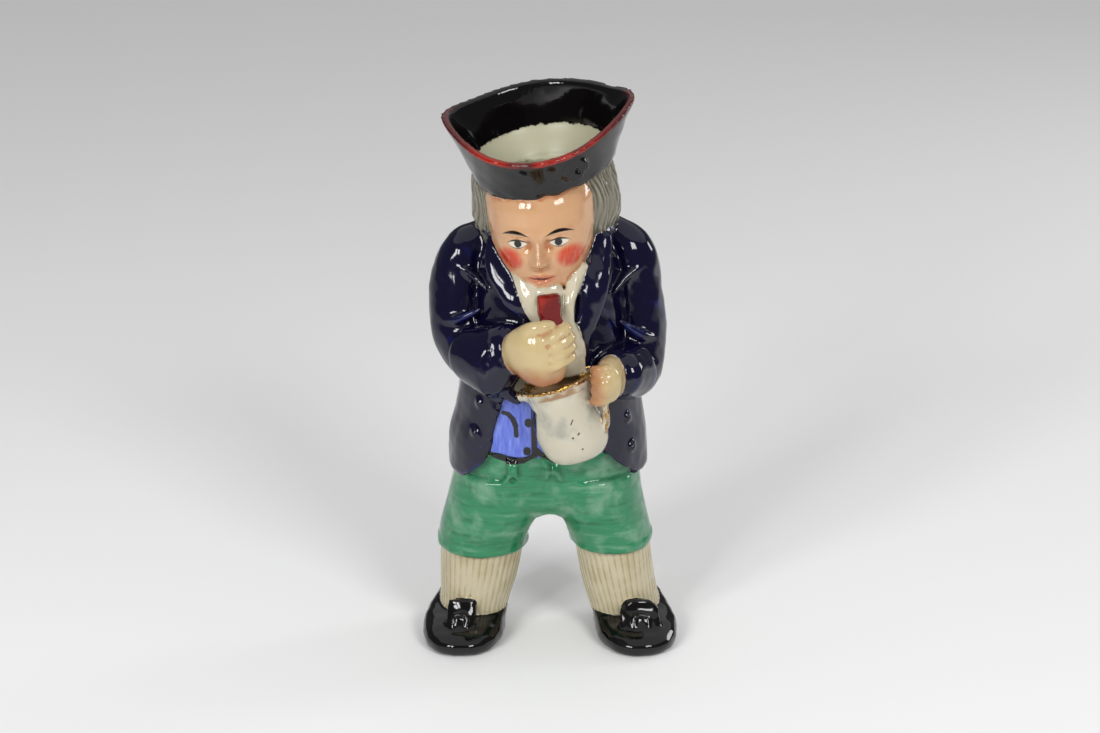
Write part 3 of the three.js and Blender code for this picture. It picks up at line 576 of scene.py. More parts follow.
RIGHT_SLEEVE = [
    [-27, 4, 196, 9, 9], [-37, 3, 187.5, 12.5, 12.5], [-41, 1, 172, 14, 14.5], [-40.5, -3, 155, 14, 14.5],
    [-35.5, -12, 145, 12.5, 13], [-27, -26, 148, 11, 11.5], [-18, -38, 155, 9.5, 10.5],
]
LEFT_SLEEVE = [
    [26, 4, 198.5, 9, 9], [36.5, 3, 188.6, 12, 12.2], [39.5, 1, 170, 13, 14], [40.5, -3, 150, 13.8, 14],
    [39, -11, 137, 12.8, 13], [35, -24, 140, 11, 11], [30, -35, 145, 9, 10],
]
SLEEVE_UP = unit(np.array([0, -1, 0.35]))


def sleeves():
    cuffs = [
        [
            [-35, -19, 146, 11.5, 12], [-33, -22, 146.8, 13.8, 14], [-20.5, -37, 149, 17.5, 12.5],
            [-19, -39.5, 149, 15.5, 9],
        ],
        [[-28, -26, 141, 4, 7], [-20, -35, 135, 3.6, 5], [-13.5, -38, 129.5, 1.2, 1.6]],
        [
            [38, -18, 138.5, 11, 11.5], [36.5, -21, 139, 13, 13.5], [30.5, -36, 142.5, 10.8, 12],
            [29.5, -38, 143, 8.8, 10],
        ],
    ]
    folds = [
        [[-50, -11, 160], [-42, -16.5, 162], [-31, -20, 168]],
        [[-45, -8, 186], [-36, -11, 183], [-28, -18, 177]],
        [[50, -12, 152], [42, -17, 155], [32, -21, 163]],
        [[44, -8, 186], [36, -11, 182], [29, -18, 175]],
    ]
    return [
        *[limb(rows, sides=72, up=SLEEVE_UP) for rows in (RIGHT_SLEEVE, LEFT_SLEEVE)],
        *[limb(rows, sides=72, up=SLEEVE_UP, rounded=0.3) for rows in cuffs],
        *[
            limb([[*start, 0.8, 0.8], [*middle, 2.4, 2], [*end, 1, 1]], rounded=0.8)
            for start, middle, end in folds
        ],
    ]


# Shirt, waistcoat and cravat

WAISTCOAT = [
    [100, 0, 0, 39.5, 30.5, 2.4],
    [101, 0, 0, 40, 31, 2.4],
    [122, 0, 0.5, 38.5, 30, 2.3],
    [158, 0, 3, 35, 29.5, 2.2],
    [188, 0, 4.5, 33, 26, 2.1],
    [198, -1, 2, 28.5, 23.5, 2],
    [208, -1.5, -1, 25, 24, 2],
]
WAISTCOAT_HEM = [[-34, 92], [-28, 101.5], [-10, 98.5], [-3, 101], [0, 101], [10, 97], [30, 101.5], [36, 92]]
WAISTCOAT_TOP = 128


def shirt_front():
    folds = [
        [[-2, -25, 194, 9, 4], [-3.5, -32, 185, 8.4, 4], [1, -36.5, 170, 9, 4.5], [7, -37.5, 156, 8.5, 4],
         [11, -37, 144, 6, 3]],
        [
            [-17, -24, 196, 3, 2], [-12.4, -30.6, 186, 3.2, 2.2], [-8.6, -35.5, 176, 3, 2.4],
            [-6, -37, 169, 2, 2],
        ],
        [[15, -26, 191, 2.4, 1.6], [11.4, -31.4, 185, 3, 2.2], [9, -36.6, 176, 2.6, 2.4],
         [9.4, -38, 163, 2.6, 2.4], [13.5, -38.5, 153, 2.2, 2.2]],
    ]
    return [limb(rows, up=FORWARD, rounded=0.6) for rows in folds]


CRAVAT = [[-4.9, -0.8], [4.5, 0], [5.7, -15.8], [1.8, -15.4], [-4, -11]]
CRAVAT_SLOPE = 42
CRAVAT_TOP = (0, -39.5, 181.8)
CRAVAT_THICK = 7


def cravat():
    """The free end of the cravat, a plain tab that slopes down from the shirt over the closed hand."""
    corners = np.array(CRAVAT, float)
    slope = math.radians(CRAVAT_SLOPE)
    lay = np.array([[1, 0, 0], [0, math.cos(slope), -math.sin(slope)], [0, math.sin(slope), math.cos(slope)]])
    rings = []
    for up, grown in ((-CRAVAT_THICK, 0), (-1, 0.5), (-0.4, 0.4), (0, -0.1), (0.15, -1)):
        middle = corners.mean(0)
        spread = corners + unit(corners - middle) * grown
        dense = np.concatenate([
            a + (b - a) * np.linspace(0, 1, 8, endpoint=False)[:, None]
            for a, b in zip(spread, np.roll(spread, -1, 0))
        ])
        rings.append(np.column_stack([dense, np.full(len(dense), up)]) @ lay.T + CRAVAT_TOP)
    return skin(rings[::-1])


# Hands. The right one is closed, with its back outwards, and the left one grips the pitcher's handle

# Each finger's [x, z] at its knuckle and [x, z] at its bend
FINGERS = [[-1.5, 163.8, 7.2, 169.8], [-0.5, 159.4, 8.6, 165.4], [0, 155, 9.2, 161], [-1.2, 150.2, 9, 156.4]]


def right_hand():
    palm = [
        [-13.5, -38, 153, 10, 8], [-9.5, -45, 154.8, 13.8, 8], [-4, -49, 156, 14.6, 8.2],
        [1.5, -48.5, 156.2, 13.2, 6],
        [5, -47, 157, 9.5, 4.5],
    ]
    thumb = [
        [-13, -44, 164, 3.4, 3.6], [-8.5, -50, 168.2, 3.6, 3.6], [-3.5, -51.6, 170.2, 3.2, 3],
        [0.6, -51, 170.6, 2.2, 2.2],
    ]
    shapes = [limb(palm, sides=56, up=FORWARD, rounded=0.4), limb(thumb, rounded=0.9)]
    for x, z, bend_x, bend_z in FINGERS:
        shapes.append(limb([
            [x, -52.8, z, 2.8, 1.9],
            [x + (bend_x - x) * 0.5, -54.4, z + (bend_z - z) * 0.6, 3.2, 2.2],
            [bend_x, -51.2, bend_z, 3, 2.2],
            [bend_x + 0.4, -45.5, bend_z - 0.8, 2.4, 2.2],
        ], sides=32, rounded=0.8))
    return shapes


FINGER_PITCH = 4.8


def left_hand():
    palm = [
        [28.5, -35, 142.5, 7, 9], [26.6, -42, 142.5, 7, 10.2], [25.6, -48, 142.5, 6.4, 9.6],
        [24.6, -52, 142, 3.8, 5.5],
    ]
    shapes = [limb(palm, sides=56, rounded=0.8)]
    for finger in range(4):
        drop = finger * FINGER_PITCH
        rows = [
            [25.5, -50.4, 150.2 - drop, 2, 2.2], [21.8, -50.6, 149.6 - drop, 2.2, 2.4],
            [19.8, -46.6, 148.6 - drop, 2, 2.2],
        ]
        shapes.append(limb(rows, sides=24, rounded=0.8))
    return shapes


# Pitcher. It leans with its lip towards the closed hand

PITCHER = [[0, 7], [1.8, 11.5], [6.5, 14.8], [15, 16.4], [24, 15.7], [30, 14.4], [35, 15.4], [38.6, 17]]
PITCHER_DEEP = 0.86
PITCHER_PLACE = (-4, -17, 0, (14.6, -39, 103))


def pitcher_body():
    z = np.unique(np.concatenate([np.linspace(0, PITCHER[-1][0], 40), [row[0] for row in PITCHER]]))
    radius = eased(PITCHER, z)[:, 0]
    turn = np.linspace(0, 2 * math.pi, 96, endpoint=False)
    rings = [
        np.column_stack([r * np.cos(turn), PITCHER_DEEP * r * np.sin(turn), np.full(len(turn), height)])
        for r, height in zip(radius, z)
    ]
    return place(skin(rings), *PITCHER_PLACE)


def pitcher_loop():
    rows = [
        [22.5, -46, 136, 2, 2], [25, -46, 130, 1.8, 1.8], [25.6, -44, 122, 1.8, 1.8],
        [23, -42, 115.5, 1.8, 1.8],
    ]
    return limb(rows, up=FORWARD)


# Legs

LEG_LINES = [
    [
        [46, -31.6, -1, 21.3, 22.1], [53, -30, -1, 22.2, 23], [66, -24.5, -0.5, 24.5, 25.5],
        [86, -19, 0, 25.5, 28.5],
    ],
    [
        [48, 29.4, -1, 19.5, 22.4], [53, 28, -1, 20.3, 23], [66, 22.8, -0.5, 22.5, 25.5],
        [86, 17.5, 0, 25, 28.5],
    ],
]
STOCKING_LINES = [
    [
        [5, -37, 0, 16, 17], [14, -36, 1, 16.6, 17.8], [28, -33.8, 0.2, 18.4, 18.8],
        [48, -31.7, -1, 20.2, 20.5],
    ],
    [[5, 38.5, 0, 16.5, 17], [14, 36.2, 1, 17.3, 17.8], [28, 33, 0.2, 17.7, 18.8], [48, 30, -1, 18, 20.5]],
]
LEG_POWER = 2.1
CROTCH = [[-16, 36], [-11.5, 49], [-7.5, 61.5], [0, 67.8], [6.5, 63.3], [10, 51.5], [15, 36]]
HIPS = [
    [62, 0, 0, 30, 14, 2.2], [66, 0, 0, 35, 20, 2.2], [71, -0.5, 0, 40, 24.5, 2.3],
    [78, -1.2, 0, 42.8, 27.5, 2.4], [104, 0, 0, 40, 30, 2.4],
]


# Where the breeches are gathered under the waistcoat, as x
GATHERS = (-19, -14.5, -2, 5)


def as_leg(rows):
    return [[*row, LEG_POWER] for row in rows]


def knee_bands_and_gathers():
    made = []
    for (z, x, y, wide, deep), *_ in LEG_LINES:
        made.append(stack(as_leg([
            [z, x, y, wide, deep], [z + 0.8, x, y, wide + 0.5, deep + 0.6],
            [z + 3.4, x, y, wide + 0.5, deep + 0.6],
            [z + 4.2, x, y, wide - 0.5, deep - 0.5],
        ]), step=0.5))
    for count, x in enumerate(GATHERS):
        bent = 1.5 if count % 2 == 0 else -1.5
        rows = [[x, -29, 98, 0.8, 0.8], [x + bent, -30.2, 92.5, 1.6, 1.4], [x - bent, -28, 86.5, 0.8, 0.8]]
        made.append(limb(rows, up=FORWARD, rounded=0.8))
    return made


# Each shoe's x, turn and inward side, and the half widths of its tongue
SHOES = [(-40, -5, 1, (6.6, 6.9, 7.1, 6.6)), (40.5, 7, -1, (8, 10, 9.8, 6))]
SHOE = [
    [0, 0, -8.5, 16.8, 25, 2.3], [1.4, 0, -8.5, 18.8, 27, 2.3], [5, 0, -8.5, 19.6, 28, 2.3],
    [8.6, 0.2, -7.2, 19.3, 26.2, 2.2], [11.4, 1.2, -3, 18.6, 22, 2.1], [13.2, 2.4, 2.5, 18, 17.6, 2.1],
    [15.5, 3.4, 7, 17.6, 13.2, 2.1],
]
BUCKLE_RADIUS = 4.8 * MM
BUCKLE_SLOPE = 62
BUCKLE_PLACE = (0, -25.6, 13.6)
BUCKLE_THICK = 0.75


def buckle():
    """A square buckle, turned up along the instep."""
    corner = BUCKLE_RADIUS / math.sqrt(2)
    path = []
    for turn in np.linspace(0, 2 * math.pi, 33):
        reach = corner * oval(turn, 6)
        path.append([reach * math.cos(turn), reach * math.sin(turn), 0])
    slope = math.radians(BUCKLE_SLOPE)
    lay = np.array([[1, 0, 0], [0, math.cos(slope), -math.sin(slope)], [0, math.sin(slope), math.cos(slope)]])
    path = np.array(path) @ lay.T + BUCKLE_PLACE
    return limb(np.column_stack([path, np.full((len(path), 2), BUCKLE_THICK)]), sides=12, up=lay[:, 2])


def shoes():
    instep = unit(np.array([0, -1, 0.6]))
    made = []
    for x, turn, inward, (foot, low, high, end) in SHOES:
        upper = [[z, inward * aside, *rest] for z, aside, *rest in SHOE]
        tongue = [
            [0, -27, 8, foot, 2.4], [0, -23, 12.6, low, 2.4], [0, -19.6, 17.4, high, 2.1],
            [0, -17.8, 21.4, end, 1.8],
        ]
        shapes = [stack(upper, step=0.8), limb(tongue, sides=40, up=instep, rounded=0.3), buckle()]
        made += [place(shape, 0, 0, turn, (x, 0, 0)) for shape in shapes]
    return made


def handle():
    """A plain loop from the back of the hair, out behind the shoulders, down to the waist."""
    back, top, foot = 34, 214, 122
    reach = back + HANDLE_GRIP + HANDLE_DEEP / 2
    line = [
        [16, top - 4, 1.35], [33, top, 1.15], [49, top - 6, 1], [reach - 1, top - 25, 1],
        [reach, top - 46, 1], [reach - 5, foot + 24, 1], [46, foot + 7, 1.1], [26, foot - 3, 1.4],
    ]
    rows = [[0, y, z, flare * HANDLE_DEEP / 2, flare * HANDLE_WIDE / 2] for y, z, flare in line]
    return limb(rows, sides=48, up=np.array([1.0, 0, 0]))


# The hollow of the jug

HOLLOW = [
    [72, 0, 0, 32, 16, 2.2], [81, 0, 0, 37.5, 23, 2.3], [103, 0, 0, 38.5, 25.5, 2.3],
    [124, 0, 0.5, 35.5, 25.5, 2.2],
    [160, 0, 3.5, 32, 26, 2.2], [184, -0.5, 4.5, 28.5, 22, 2.1], [198, -1, 3, 24, 19, 2],
    [207, -1.5, 0, 21, 19.5, 2],
    [216, -2.5, -5, 23.5, 22.5, 2], [224, -2.2, -5.4, 21.8, 20.8, 2], [231, -1.8, -6, 20, 19.6, 2],
]
LEG_HOLLOWS = [
    [[SOLE_FLOOR, -36.5, 0.5, 12, 13], [28, -33.8, 0, 13.6, 14.2], [48, -31.8, -1, 15.2, 15.8],
     [58, -30, -0.7, 15, 17.4], [68, -27, -0.3, 15.6, 20], [80, -21, 0, 17.5, 22.5]],
    [[SOLE_FLOOR, 37, 0.5, 12, 13], [28, 33, 0, 13, 14.2], [48, 30.3, -1, 13.2, 15.8],
     [58, 28.8, -0.7, 13.4, 17.4], [68, 26, -0.3, 14.2, 20], [80, 20, 0, 17.5, 22.5]],
]


def hollow_shapes():
    sleeves = (RIGHT_SLEEVE[1:4], LEFT_SLEEVE[1:4])
    arms = [limb(rows, sides=32, up=SLEEVE_UP, grown=-WALL, step=3) for rows in sleeves]
    legs = [stack(as_leg(rows), sides=48, step=4) for rows in LEG_HOLLOWS]
    return [stack(HOLLOW, sides=80, step=4), *arms, *legs]


# Working the clay

REGIONS = (
    "hat", "hair", "head", "coat", "shirt", "waistcoat", "cravat", "hand", "pitcher", "gilt", "breeches",
    "stocking", "shoe", "inside",
)
HOLLOW_CELL_M = 0.0025
LIP_REACH_MM = 3.6


def joined(name, objects):
    only(*objects)
    if len(objects) > 1:
        bpy.ops.object.join()
    objects[0].name = name
    return objects[0]


def shapes_by_region():
    """One object for each painted region, carved where it is cut away."""
    def cut_each(name, shapes, cutter):
        return [
            carved(piece(f"{name}_{n}", [shape]), piece("cutter", [cutter]))
            for n, shape in enumerate(shapes)
        ]

    mouth = hat_mouth()
    body, lip = pitcher_body(), place(ball((-14.5, 0, 36.3), (4.4, 5.2, 3.4)), *PITCHER_PLACE)
    dish = place(ball((-1, 0, 41.6), (16, 13.4, 7), 48), *PITCHER_PLACE)
    coat = stack(COAT, grown=COAT_PROUD, ripple=0.5, ripples=6)
    legs = [stack(HIPS), *[stack(as_leg(rows)) for rows in LEG_LINES]]
    coat_trims = [*collar_and_lapels(), *buttons(), *back_pleats(), *sleeves(), handle()]
    return {
        "hat": [*cut_each("hat", [hat()], mouth), piece("cockade", [cockade()])],
        "hair": cut_each("hair", [place(stack(HAIR, sides=168, ripple=0.6, ripples=21), *HEAD_PLACE)], mouth),
        "head": cut_each("head", [head()], mouth),
        "coat": [
            *cut_each("coat", [coat], front_cut(COAT_OPENING, -70, -15)), piece("coat_trims", coat_trims),
        ],
        "shirt": [piece("shirt", shirt_front())],
        "waistcoat": cut_each(
            "waistcoat", [stack(WAISTCOAT, grown=SHIRT_PROUD)], front_cut(WAISTCOAT_HEM, -60, -27),
        ),
        "cravat": [piece("cravat", [cravat()])],
        "hand": [piece("hands", [*right_hand(), *left_hand()])],
        "pitcher": [*cut_each("pitcher", [body], dish), *cut_each("pitcher_lip", [lip], dish)],
        "gilt": [piece("pitcher_loop", [pitcher_loop()])],
        "breeches": [
            *cut_each("breeches", legs, front_cut(CROTCH, -60, 60)), piece("bands", knee_bands_and_gathers()),
        ],
        "stocking": [piece("stockings", [stack(as_leg(rows)) for rows in STOCKING_LINES])],
        "shoe": [piece("shoes", shoes())],
    }


def places_of(made):
    points = np.empty(len(made.data.vertices) * 3, np.float32)
    made.data.vertices.foreach_get("co", points)
    return points.reshape(-1, 3).astype(float)


def set_places(made, points):
    made.data.vertices.foreach_set("co", points.astype(np.float32).ravel())
    made.data.update()


def normals_of(made):
    normals = np.empty(len(made.data.vertices) * 3, np.float32)
    made.data.vertex_normals.foreach_get("vector", normals)
    return normals.reshape(-1, 3).astype(float)


def parts_of(points):
    return (points + CENTRE_M) / PART_M


def tree_of(made):
    return BVHTree.FromPolygons(
        [v.co[:] for v in made.data.vertices], [p.vertices[:] for p in made.data.polygons],
    )


def lumps(points, size, seed):
    """Soft lumps of about the given size, from -1 to 1 or so."""
    chance = np.random.default_rng(seed)
    total = np.zeros(len(points))
    for _ in range(9):
        way = unit(chance.normal(size=3))
        total += np.sin(
            points @ way * (2 * math.pi / (size * chance.uniform(0.8, 1.9))) + chance.uniform(0, 6.3),
        )
    return total / 3.5


def local(points, nod, lean, turn, centre):
    """Points seen from a turned and moved frame."""
    turned = Euler([math.radians(a) for a in (nod, lean, turn)], "XYZ").to_matrix()
    return (points - centre) @ np.array(turned)


# The middle lines of the two legs, as x at the sole and its change with height, for the stocking's ribs
LEG_MIDDLES = ((-37.6, 0.125), (38.9, -0.185))


def rib_turn(points):
    right = points[:, 0] < 0
    middle = np.where(right, LEG_MIDDLES[0][0] + LEG_MIDDLES[0][1] * points[:, 2],
                      LEG_MIDDLES[1][0] + LEG_MIDDLES[1][1] * points[:, 2])
    return np.arctan2(points[:, 0] - middle, -points[:, 1])


def strand_turn(points):
    """Turn round the hair, with the comb's own waviness: the painted comb marks use the same formula."""
    seen = local(points, *HEAD_PLACE)
    return np.arctan2(seen[:, 0], -(seen[:, 1] - 10)) + 0.05 * np.sin(seen[:, 2] * 0.22 + seen[:, 0] * 0.1)


# Each region's lumps of hand-pressed clay, by their size and height in parts
LUMPS = (
    ("coat", 15, 0.3), ("coat", 6, 0.1), ("hat", 9, 0.16), ("breeches", 11, 0.25), ("shoe", 7, 0.2),
    ("hand", 9, 0.12),
    ("shirt", 7, 0.2), ("waistcoat", 10, 0.15), ("head", 14, 0.1),
)


def relief(points, region, sizes):
    """How far the finished clay stands out from its plain form, in parts."""
    out = np.zeros(len(points))

    def on(name):
        return region == REGIONS.index(name)

    for name, size, height in LUMPS:
        which = on(name)
        out[which] += height * lumps(points[which], size, len(name) + size)
    which = on("pitcher")
    z = local(points[which], *PITCHER_PLACE)[:, 2]
    out[which] += 0.4 * np.clip((z - 26) / 8, 0, 1) * lumps(points[which], 4.5, 5)
    which = on("stocking")
    ribs = np.abs(np.sin(rib_turn(points[which]) * sizes.ribs / 2)) ** 0.7
    out[which] += (ribs - 1) * sizes.rib_depth / PART_M
    which = on("hair")
    strands = np.abs(np.sin(strand_turn(points[which]) * sizes.strands / 2)) ** 0.8
    out[which] += (strands - 1) * sizes.strand_depth / PART_M + 0.2 * lumps(points[which], 8, 3)
    return out


def nearest_regions(made, shapes):
    """The region of the source shape nearest to each point of the object."""
    points, faces, owner, start = [], [], [], 0
    for name, shape in shapes.items():
        points += [v.co[:] for v in shape.data.vertices]
        faces += [[corner + start for corner in p.vertices] for p in shape.data.polygons]
        owner += [REGIONS.index(name)] * len(shape.data.polygons)
        start += len(shape.data.vertices)
    tree = BVHTree.FromPolygons(points, faces)
    return np.array([owner[tree.find_nearest(v.co)[2]] for v in made.data.vertices])


def work_relief(made, shapes, mouth, sizes):
    points, normals = places_of(made), normals_of(made)
    parts = parts_of(points)
    region = nearest_regions(made, shapes)
    from_mouth = np.array([mouth.find_nearest(v.co)[3] for v in made.data.vertices]) / PART_M
    worked = relief(parts, region, sizes) * np.clip(from_mouth - 0.8, 0, 1)
    points += normals * (worked * PART_M)[:, None]
    seen = local(parts, *HEAD_PLACE)
    facing = (region == REGIONS.index("head")) & (seen[:, 1] < -6)
    turned = np.array(Euler([math.radians(a) for a in HEAD_PLACE[:3]], "XYZ").to_matrix())
    fine = face_relief(FINE_FEATURES, seen[:, 0], seen[:, 2]) * facing
    points += (fine * PART_M)[:, None] * (turned @ FORWARD)
    set_places(made, points)


def lip_distances(made):
    """How far each point is from the middle line of the hat's lip, in millimetres."""
    lip = place((hat_ring(1, BRIM / 2, 720, False), []), *HAT_PLACE)[0] * PART_M - CENTRE_M
    line = KDTree(len(lip))
    for n, p in enumerate(lip):
        line.insert(p, n)
    line.balance()
    return np.array([line.find(p)[2] for p in places_of(made)]) * 1000


def smooth_lip(made):
    """Rounds the lip of the hat, where two thin skins meet."""
    group = made.vertex_groups.new(name="lip")
    group.add(np.flatnonzero(lip_distances(made) < LIP_REACH_MM).tolist(), 1.0, "REPLACE")
    modified(made, "SMOOTH", factor=0.5, iterations=14, vertex_group="lip")


def attribute(made, name, values):
    made.data.attributes.new(name, "FLOAT", "POINT").data.foreach_set("value", values.astype(np.float32))


def bends_of(made):
    """How each point bends, per millimetre: above nothing on edges, below it in creases."""
    mesh = made.data
    edges = np.empty(len(mesh.edges) * 2, np.int32)
    mesh.edges.foreach_get("vertices", edges)
    edges = edges.reshape(-1, 2)
    points, normals = places_of(made) * 1000, normals_of(made)
    count = np.bincount(edges.ravel(), minlength=len(points)).clip(1)

    def gathered(a, b):
        return np.bincount(edges[:, 0], a, len(points)) + np.bincount(edges[:, 1], b, len(points))

    way = points[edges[:, 1]] - points[edges[:, 0]]
    square = (way**2).sum(1)
    rise = gathered((way * normals[edges[:, 0]]).sum(1), -(way * normals[edges[:, 1]]).sum(1))
    bend = -2 * rise / gathered(square, square).clip(1e-6)
    for _ in range(3):
        bend = 0.4 * bend + 0.6 * gathered(bend[edges[:, 1]], bend[edges[:, 0]]) / count
    return bend.clip(-1, 1)


def mark_paint(made, trees):
    """Where each colour was brushed: how much nearer each point is to one region than to any other."""
    points = places_of(made)
    aside, behind, height = parts_of(points).T
    places = [Vector(p) for p in points]
    away = {name: np.array([tree.find_nearest(p)[3] for p in places]) * 1000 for name, tree in trees.items()}
    # The waistcoat ends beside the collar and at its own top, above which its cloth is painted as shirt
    collar = (np.abs(aside) > 17) & (height > 184)
    plain = away["waistcoat"] + 6 * collar
    away["waistcoat"] = plain + np.clip(height - WAISTCOAT_TOP, 0, 20) + 3.5 * (aside > 15)
    away["shirt"] = np.minimum(away["shirt"], plain + np.clip(WAISTCOAT_TOP - height, 0, 20))
    # No shirt shows behind, and the shoe's heel covers the stocking
    away["shirt"] = away["shirt"] + 6 * (behind > 0)
    away["stocking"] = away["stocking"] + 6 * ((height < 14) & (behind > 5))
    # What is next to the hollow is its wall, and has the inside's colour
    carved_away = 4 * (away["inside"] < 1)
    for name in ("hat", "hair", "head"):
        away[name] = away[name] + carved_away
    table = np.array([away[name] for name in REGIONS])
    for n, name in enumerate(REGIONS):
        others = np.delete(table, n, 0).min(0)
        attribute(made, f"margin_{name}", (others - table[n]).clip(-8, 8))
    attribute(made, "from_lip", lip_distances(made).clip(0, 20))
    attribute(made, "bend", bends_of(made))


class TOBY_OT_casting(bpy.types.Operator):
    """Model the whole jug as one casting, in place of its plain solid"""

    bl_idname = "toby.casting"
    bl_label = "Model the casting"

    def execute(self, context):
        sizes = context.scene.toby_sizes
        shapes = {name: joined(name, objects) for name, objects in shapes_by_region().items()}
        trees = {name: tree_of(shape) for name, shape in shapes.items()}
        copies = []
        for shape in shapes.values():
            copy = shape.copy()
            copy.data = shape.data.copy()
            context.scene.collection.objects.link(copy)
            copies.append(copy)
        clay = joined("toby_casting", copies)
        modified(clay, "REMESH", mode="VOXEL", voxel_size=sizes.cell, adaptivity=0)
        modified(clay, "SMOOTH", factor=0.5, iterations=3)
        mouth = piece("mouth", [hat_mouth()])
        mouth_tree = tree_of(mouth)
        bpy.data.objects.remove(mouth)
        work_relief(clay, shapes, mouth_tree, sizes)
        modified(clay, "SMOOTH", factor=0.3, iterations=1)
        smooth_lip(clay)
        triangles = 2 * len(clay.data.polygons)
        if triangles > sizes.triangles:
            modified(clay, "DECIMATE", decimate_type="COLLAPSE", ratio=sizes.triangles / triangles)
        hollow = piece("hollow", hollow_shapes())
        modified(hollow, "REMESH", mode="VOXEL", voxel_size=HOLLOW_CELL_M, adaptivity=0)
        modified(hollow, "SMOOTH", factor=0.5, iterations=4)
        inner = [tree_of(hollow), mouth_tree]
        carved(clay, hollow)
        set_places(clay, places_of(clay).clip(np.array(CAD_BOX[0]), np.array(CAD_BOX[1])))
        for shape in shapes.values():
            bpy.data.objects.remove(shape)
        mark_paint(clay, {**trees, "inside": Nearest(inner)})
        only(clay)
        bpy.ops.object.shade_smooth()
        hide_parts(NODE)
        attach(clay, "root")
        if not 20000 < len(clay.data.polygons) < 200000:
            raise RuntimeError(f"the casting has {len(clay.data.polygons)} faces")
        return {"FINISHED"}


class Nearest:
    """Several trees searched as one."""

    def __init__(self, trees):
        self.trees = trees

    def find_nearest(self, point):
        return min((tree.find_nearest(point) for tree in self.trees), key=lambda found: found[3])


# Painting and glazing


def node(tree, kind, inputs=None, out=0, **settings):
    """Adds one node with its settings and its sockets' values or links, and returns one of its outputs."""
    made = tree.nodes.new(kind)
    for name, value in settings.items():
        setattr(made, name, value)
    for key, value in (inputs or {}).items():
        if isinstance(value, bpy.types.NodeSocket):
            tree.links.new(value, made.inputs[key])
        else:
            made.inputs[key].default_value = value
    return made.outputs[out] if made.outputs else made


MATH, VECTOR, MIX, RANGE = "ShaderNodeMath", "ShaderNodeVectorMath", "ShaderNodeMix", "ShaderNodeMapRange"
NOISE = "ShaderNodeTexNoise"
# Settings of a soft step and of a mix of two colours
SOFT = {"interpolation_type": "SMOOTHSTEP"}
COLOUR = {"data_type": "RGBA"}


def brush_line(add, across, up, middle, level, tilt, bow, reach, weight, soft=0.18):
    """One tapering brush stroke: a bowed line about a middle, as a mask."""
    t = add(MATH, {0: across, 1: middle}, operation="SUBTRACT")
    square = add(MATH, {0: t, 1: t}, operation="MULTIPLY")
    line = add(MATH, {0: square, 1: bow, 2: level}, operation="MULTIPLY_ADD")
    line = add(MATH, {0: t, 1: tilt, 2: line}, operation="MULTIPLY_ADD")
    off = add(MATH, {0: up, 1: line}, operation="SUBTRACT")
    off = add(MATH, {0: off}, operation="ABSOLUTE")
    taper = add(MATH, {0: square, 1: -weight / reach**2, 2: weight}, operation="MULTIPLY_ADD")
    inside = add(MATH, {0: taper, 1: off}, operation="SUBTRACT")
    return add(RANGE, {"Value": inside, "From Min": -soft, "From Max": soft})


def straight_line(add, flat, start, end, width, soft=0.25):
    """A brushed line from one point of the front view to another, as a mask."""
    way = np.subtract(end, start)
    length = max(float(way @ way), 1e-6)
    from_start = add(VECTOR, {0: flat, 1: (*start, 0)}, operation="SUBTRACT")
    share = add(VECTOR, {0: from_start, 1: (*(way / length), 0)}, "Value", operation="DOT_PRODUCT")
    share = add(MATH, {0: share, 1: 0.0}, operation="ADD", use_clamp=True)
    nearest = add(VECTOR, {0: (*way, 0), "Scale": share}, operation="SCALE")
    off = add(VECTOR, {0: from_start, 1: nearest}, "Value", operation="DISTANCE")
    return add(RANGE, {"Value": off, "From Min": width / 2 + soft, "From Max": width / 2 - soft})


def round_patch(add, across, up, middle, level, wide, tall, soft):
    """A round patch of colour, 1 in its middle, as a mask."""
    x = add(MATH, {0: across, 1: middle}, operation="SUBTRACT")
    x = add(MATH, {0: x, 1: wide}, operation="DIVIDE")
    z = add(MATH, {0: up, 1: level}, operation="SUBTRACT")
    z = add(MATH, {0: z, 1: tall}, operation="DIVIDE")
    x = add(MATH, {0: x, 1: x}, operation="MULTIPLY")
    away = add(MATH, {0: z, 1: z, 2: x}, operation="MULTIPLY_ADD")
    return add(
        RANGE, {"Value": away, "From Min": 1 + soft, "From Max": 1 - soft}, interpolation_type="SMOOTHSTEP",
    )


def seen_in(add, point, nod, lean, turn, centre):
    """A point in a turned and moved frame, as x, y and z."""
    moved = add("ShaderNodeMapping", {
        "Vector": point, "Location": centre, "Rotation": [math.radians(a) for a in (nod, lean, turn)],
    }, vector_type="TEXTURE")
    return [add("ShaderNodeSeparateXYZ", {0: moved}, axis) for axis in "XYZ"]


# Lesser colours, as sRGB hex. Among them the pale hair is a painted highlight, the brown of the pitcher's
# dish a painted shadow of the hand, and the bright brim red painted light
INKS = {
    "stain": "#bdae83", "rib_stain": "#8a7b56", "blue_pale": "#8696e0", "hair_lit": "#a09b87",
    "eye_white": "#d9d3c4", "eye_black": "#17110f", "lips": "#bd6549", "mouth": "#5c1d18", "dingy": "#bab8ab",
    "smudge": "#8f8e84", "dish_wash": "#94693c", "kiln_speck": "#2b2620", "brim": "#4c0705",
    "brim_lit": "#9c1c08", "bare_speck": "#cfc2b2", "tarnish": "#241a10",
}
# Brushed lines of one half of the face: middle, height, tilt, bow, reach and weight
FACE_LINES = (
    (9.8, BROW_Z + 1.9, 0.02, -0.05, 6.4, 0.75),
    (EYE_WIDE, EYE_Z + 1.9, 0.0, -0.085, 4.9, 0.5),
    (EYE_WIDE, EYE_Z - 1.8, 0.0, 0.07, 3.8, 0.22),
)
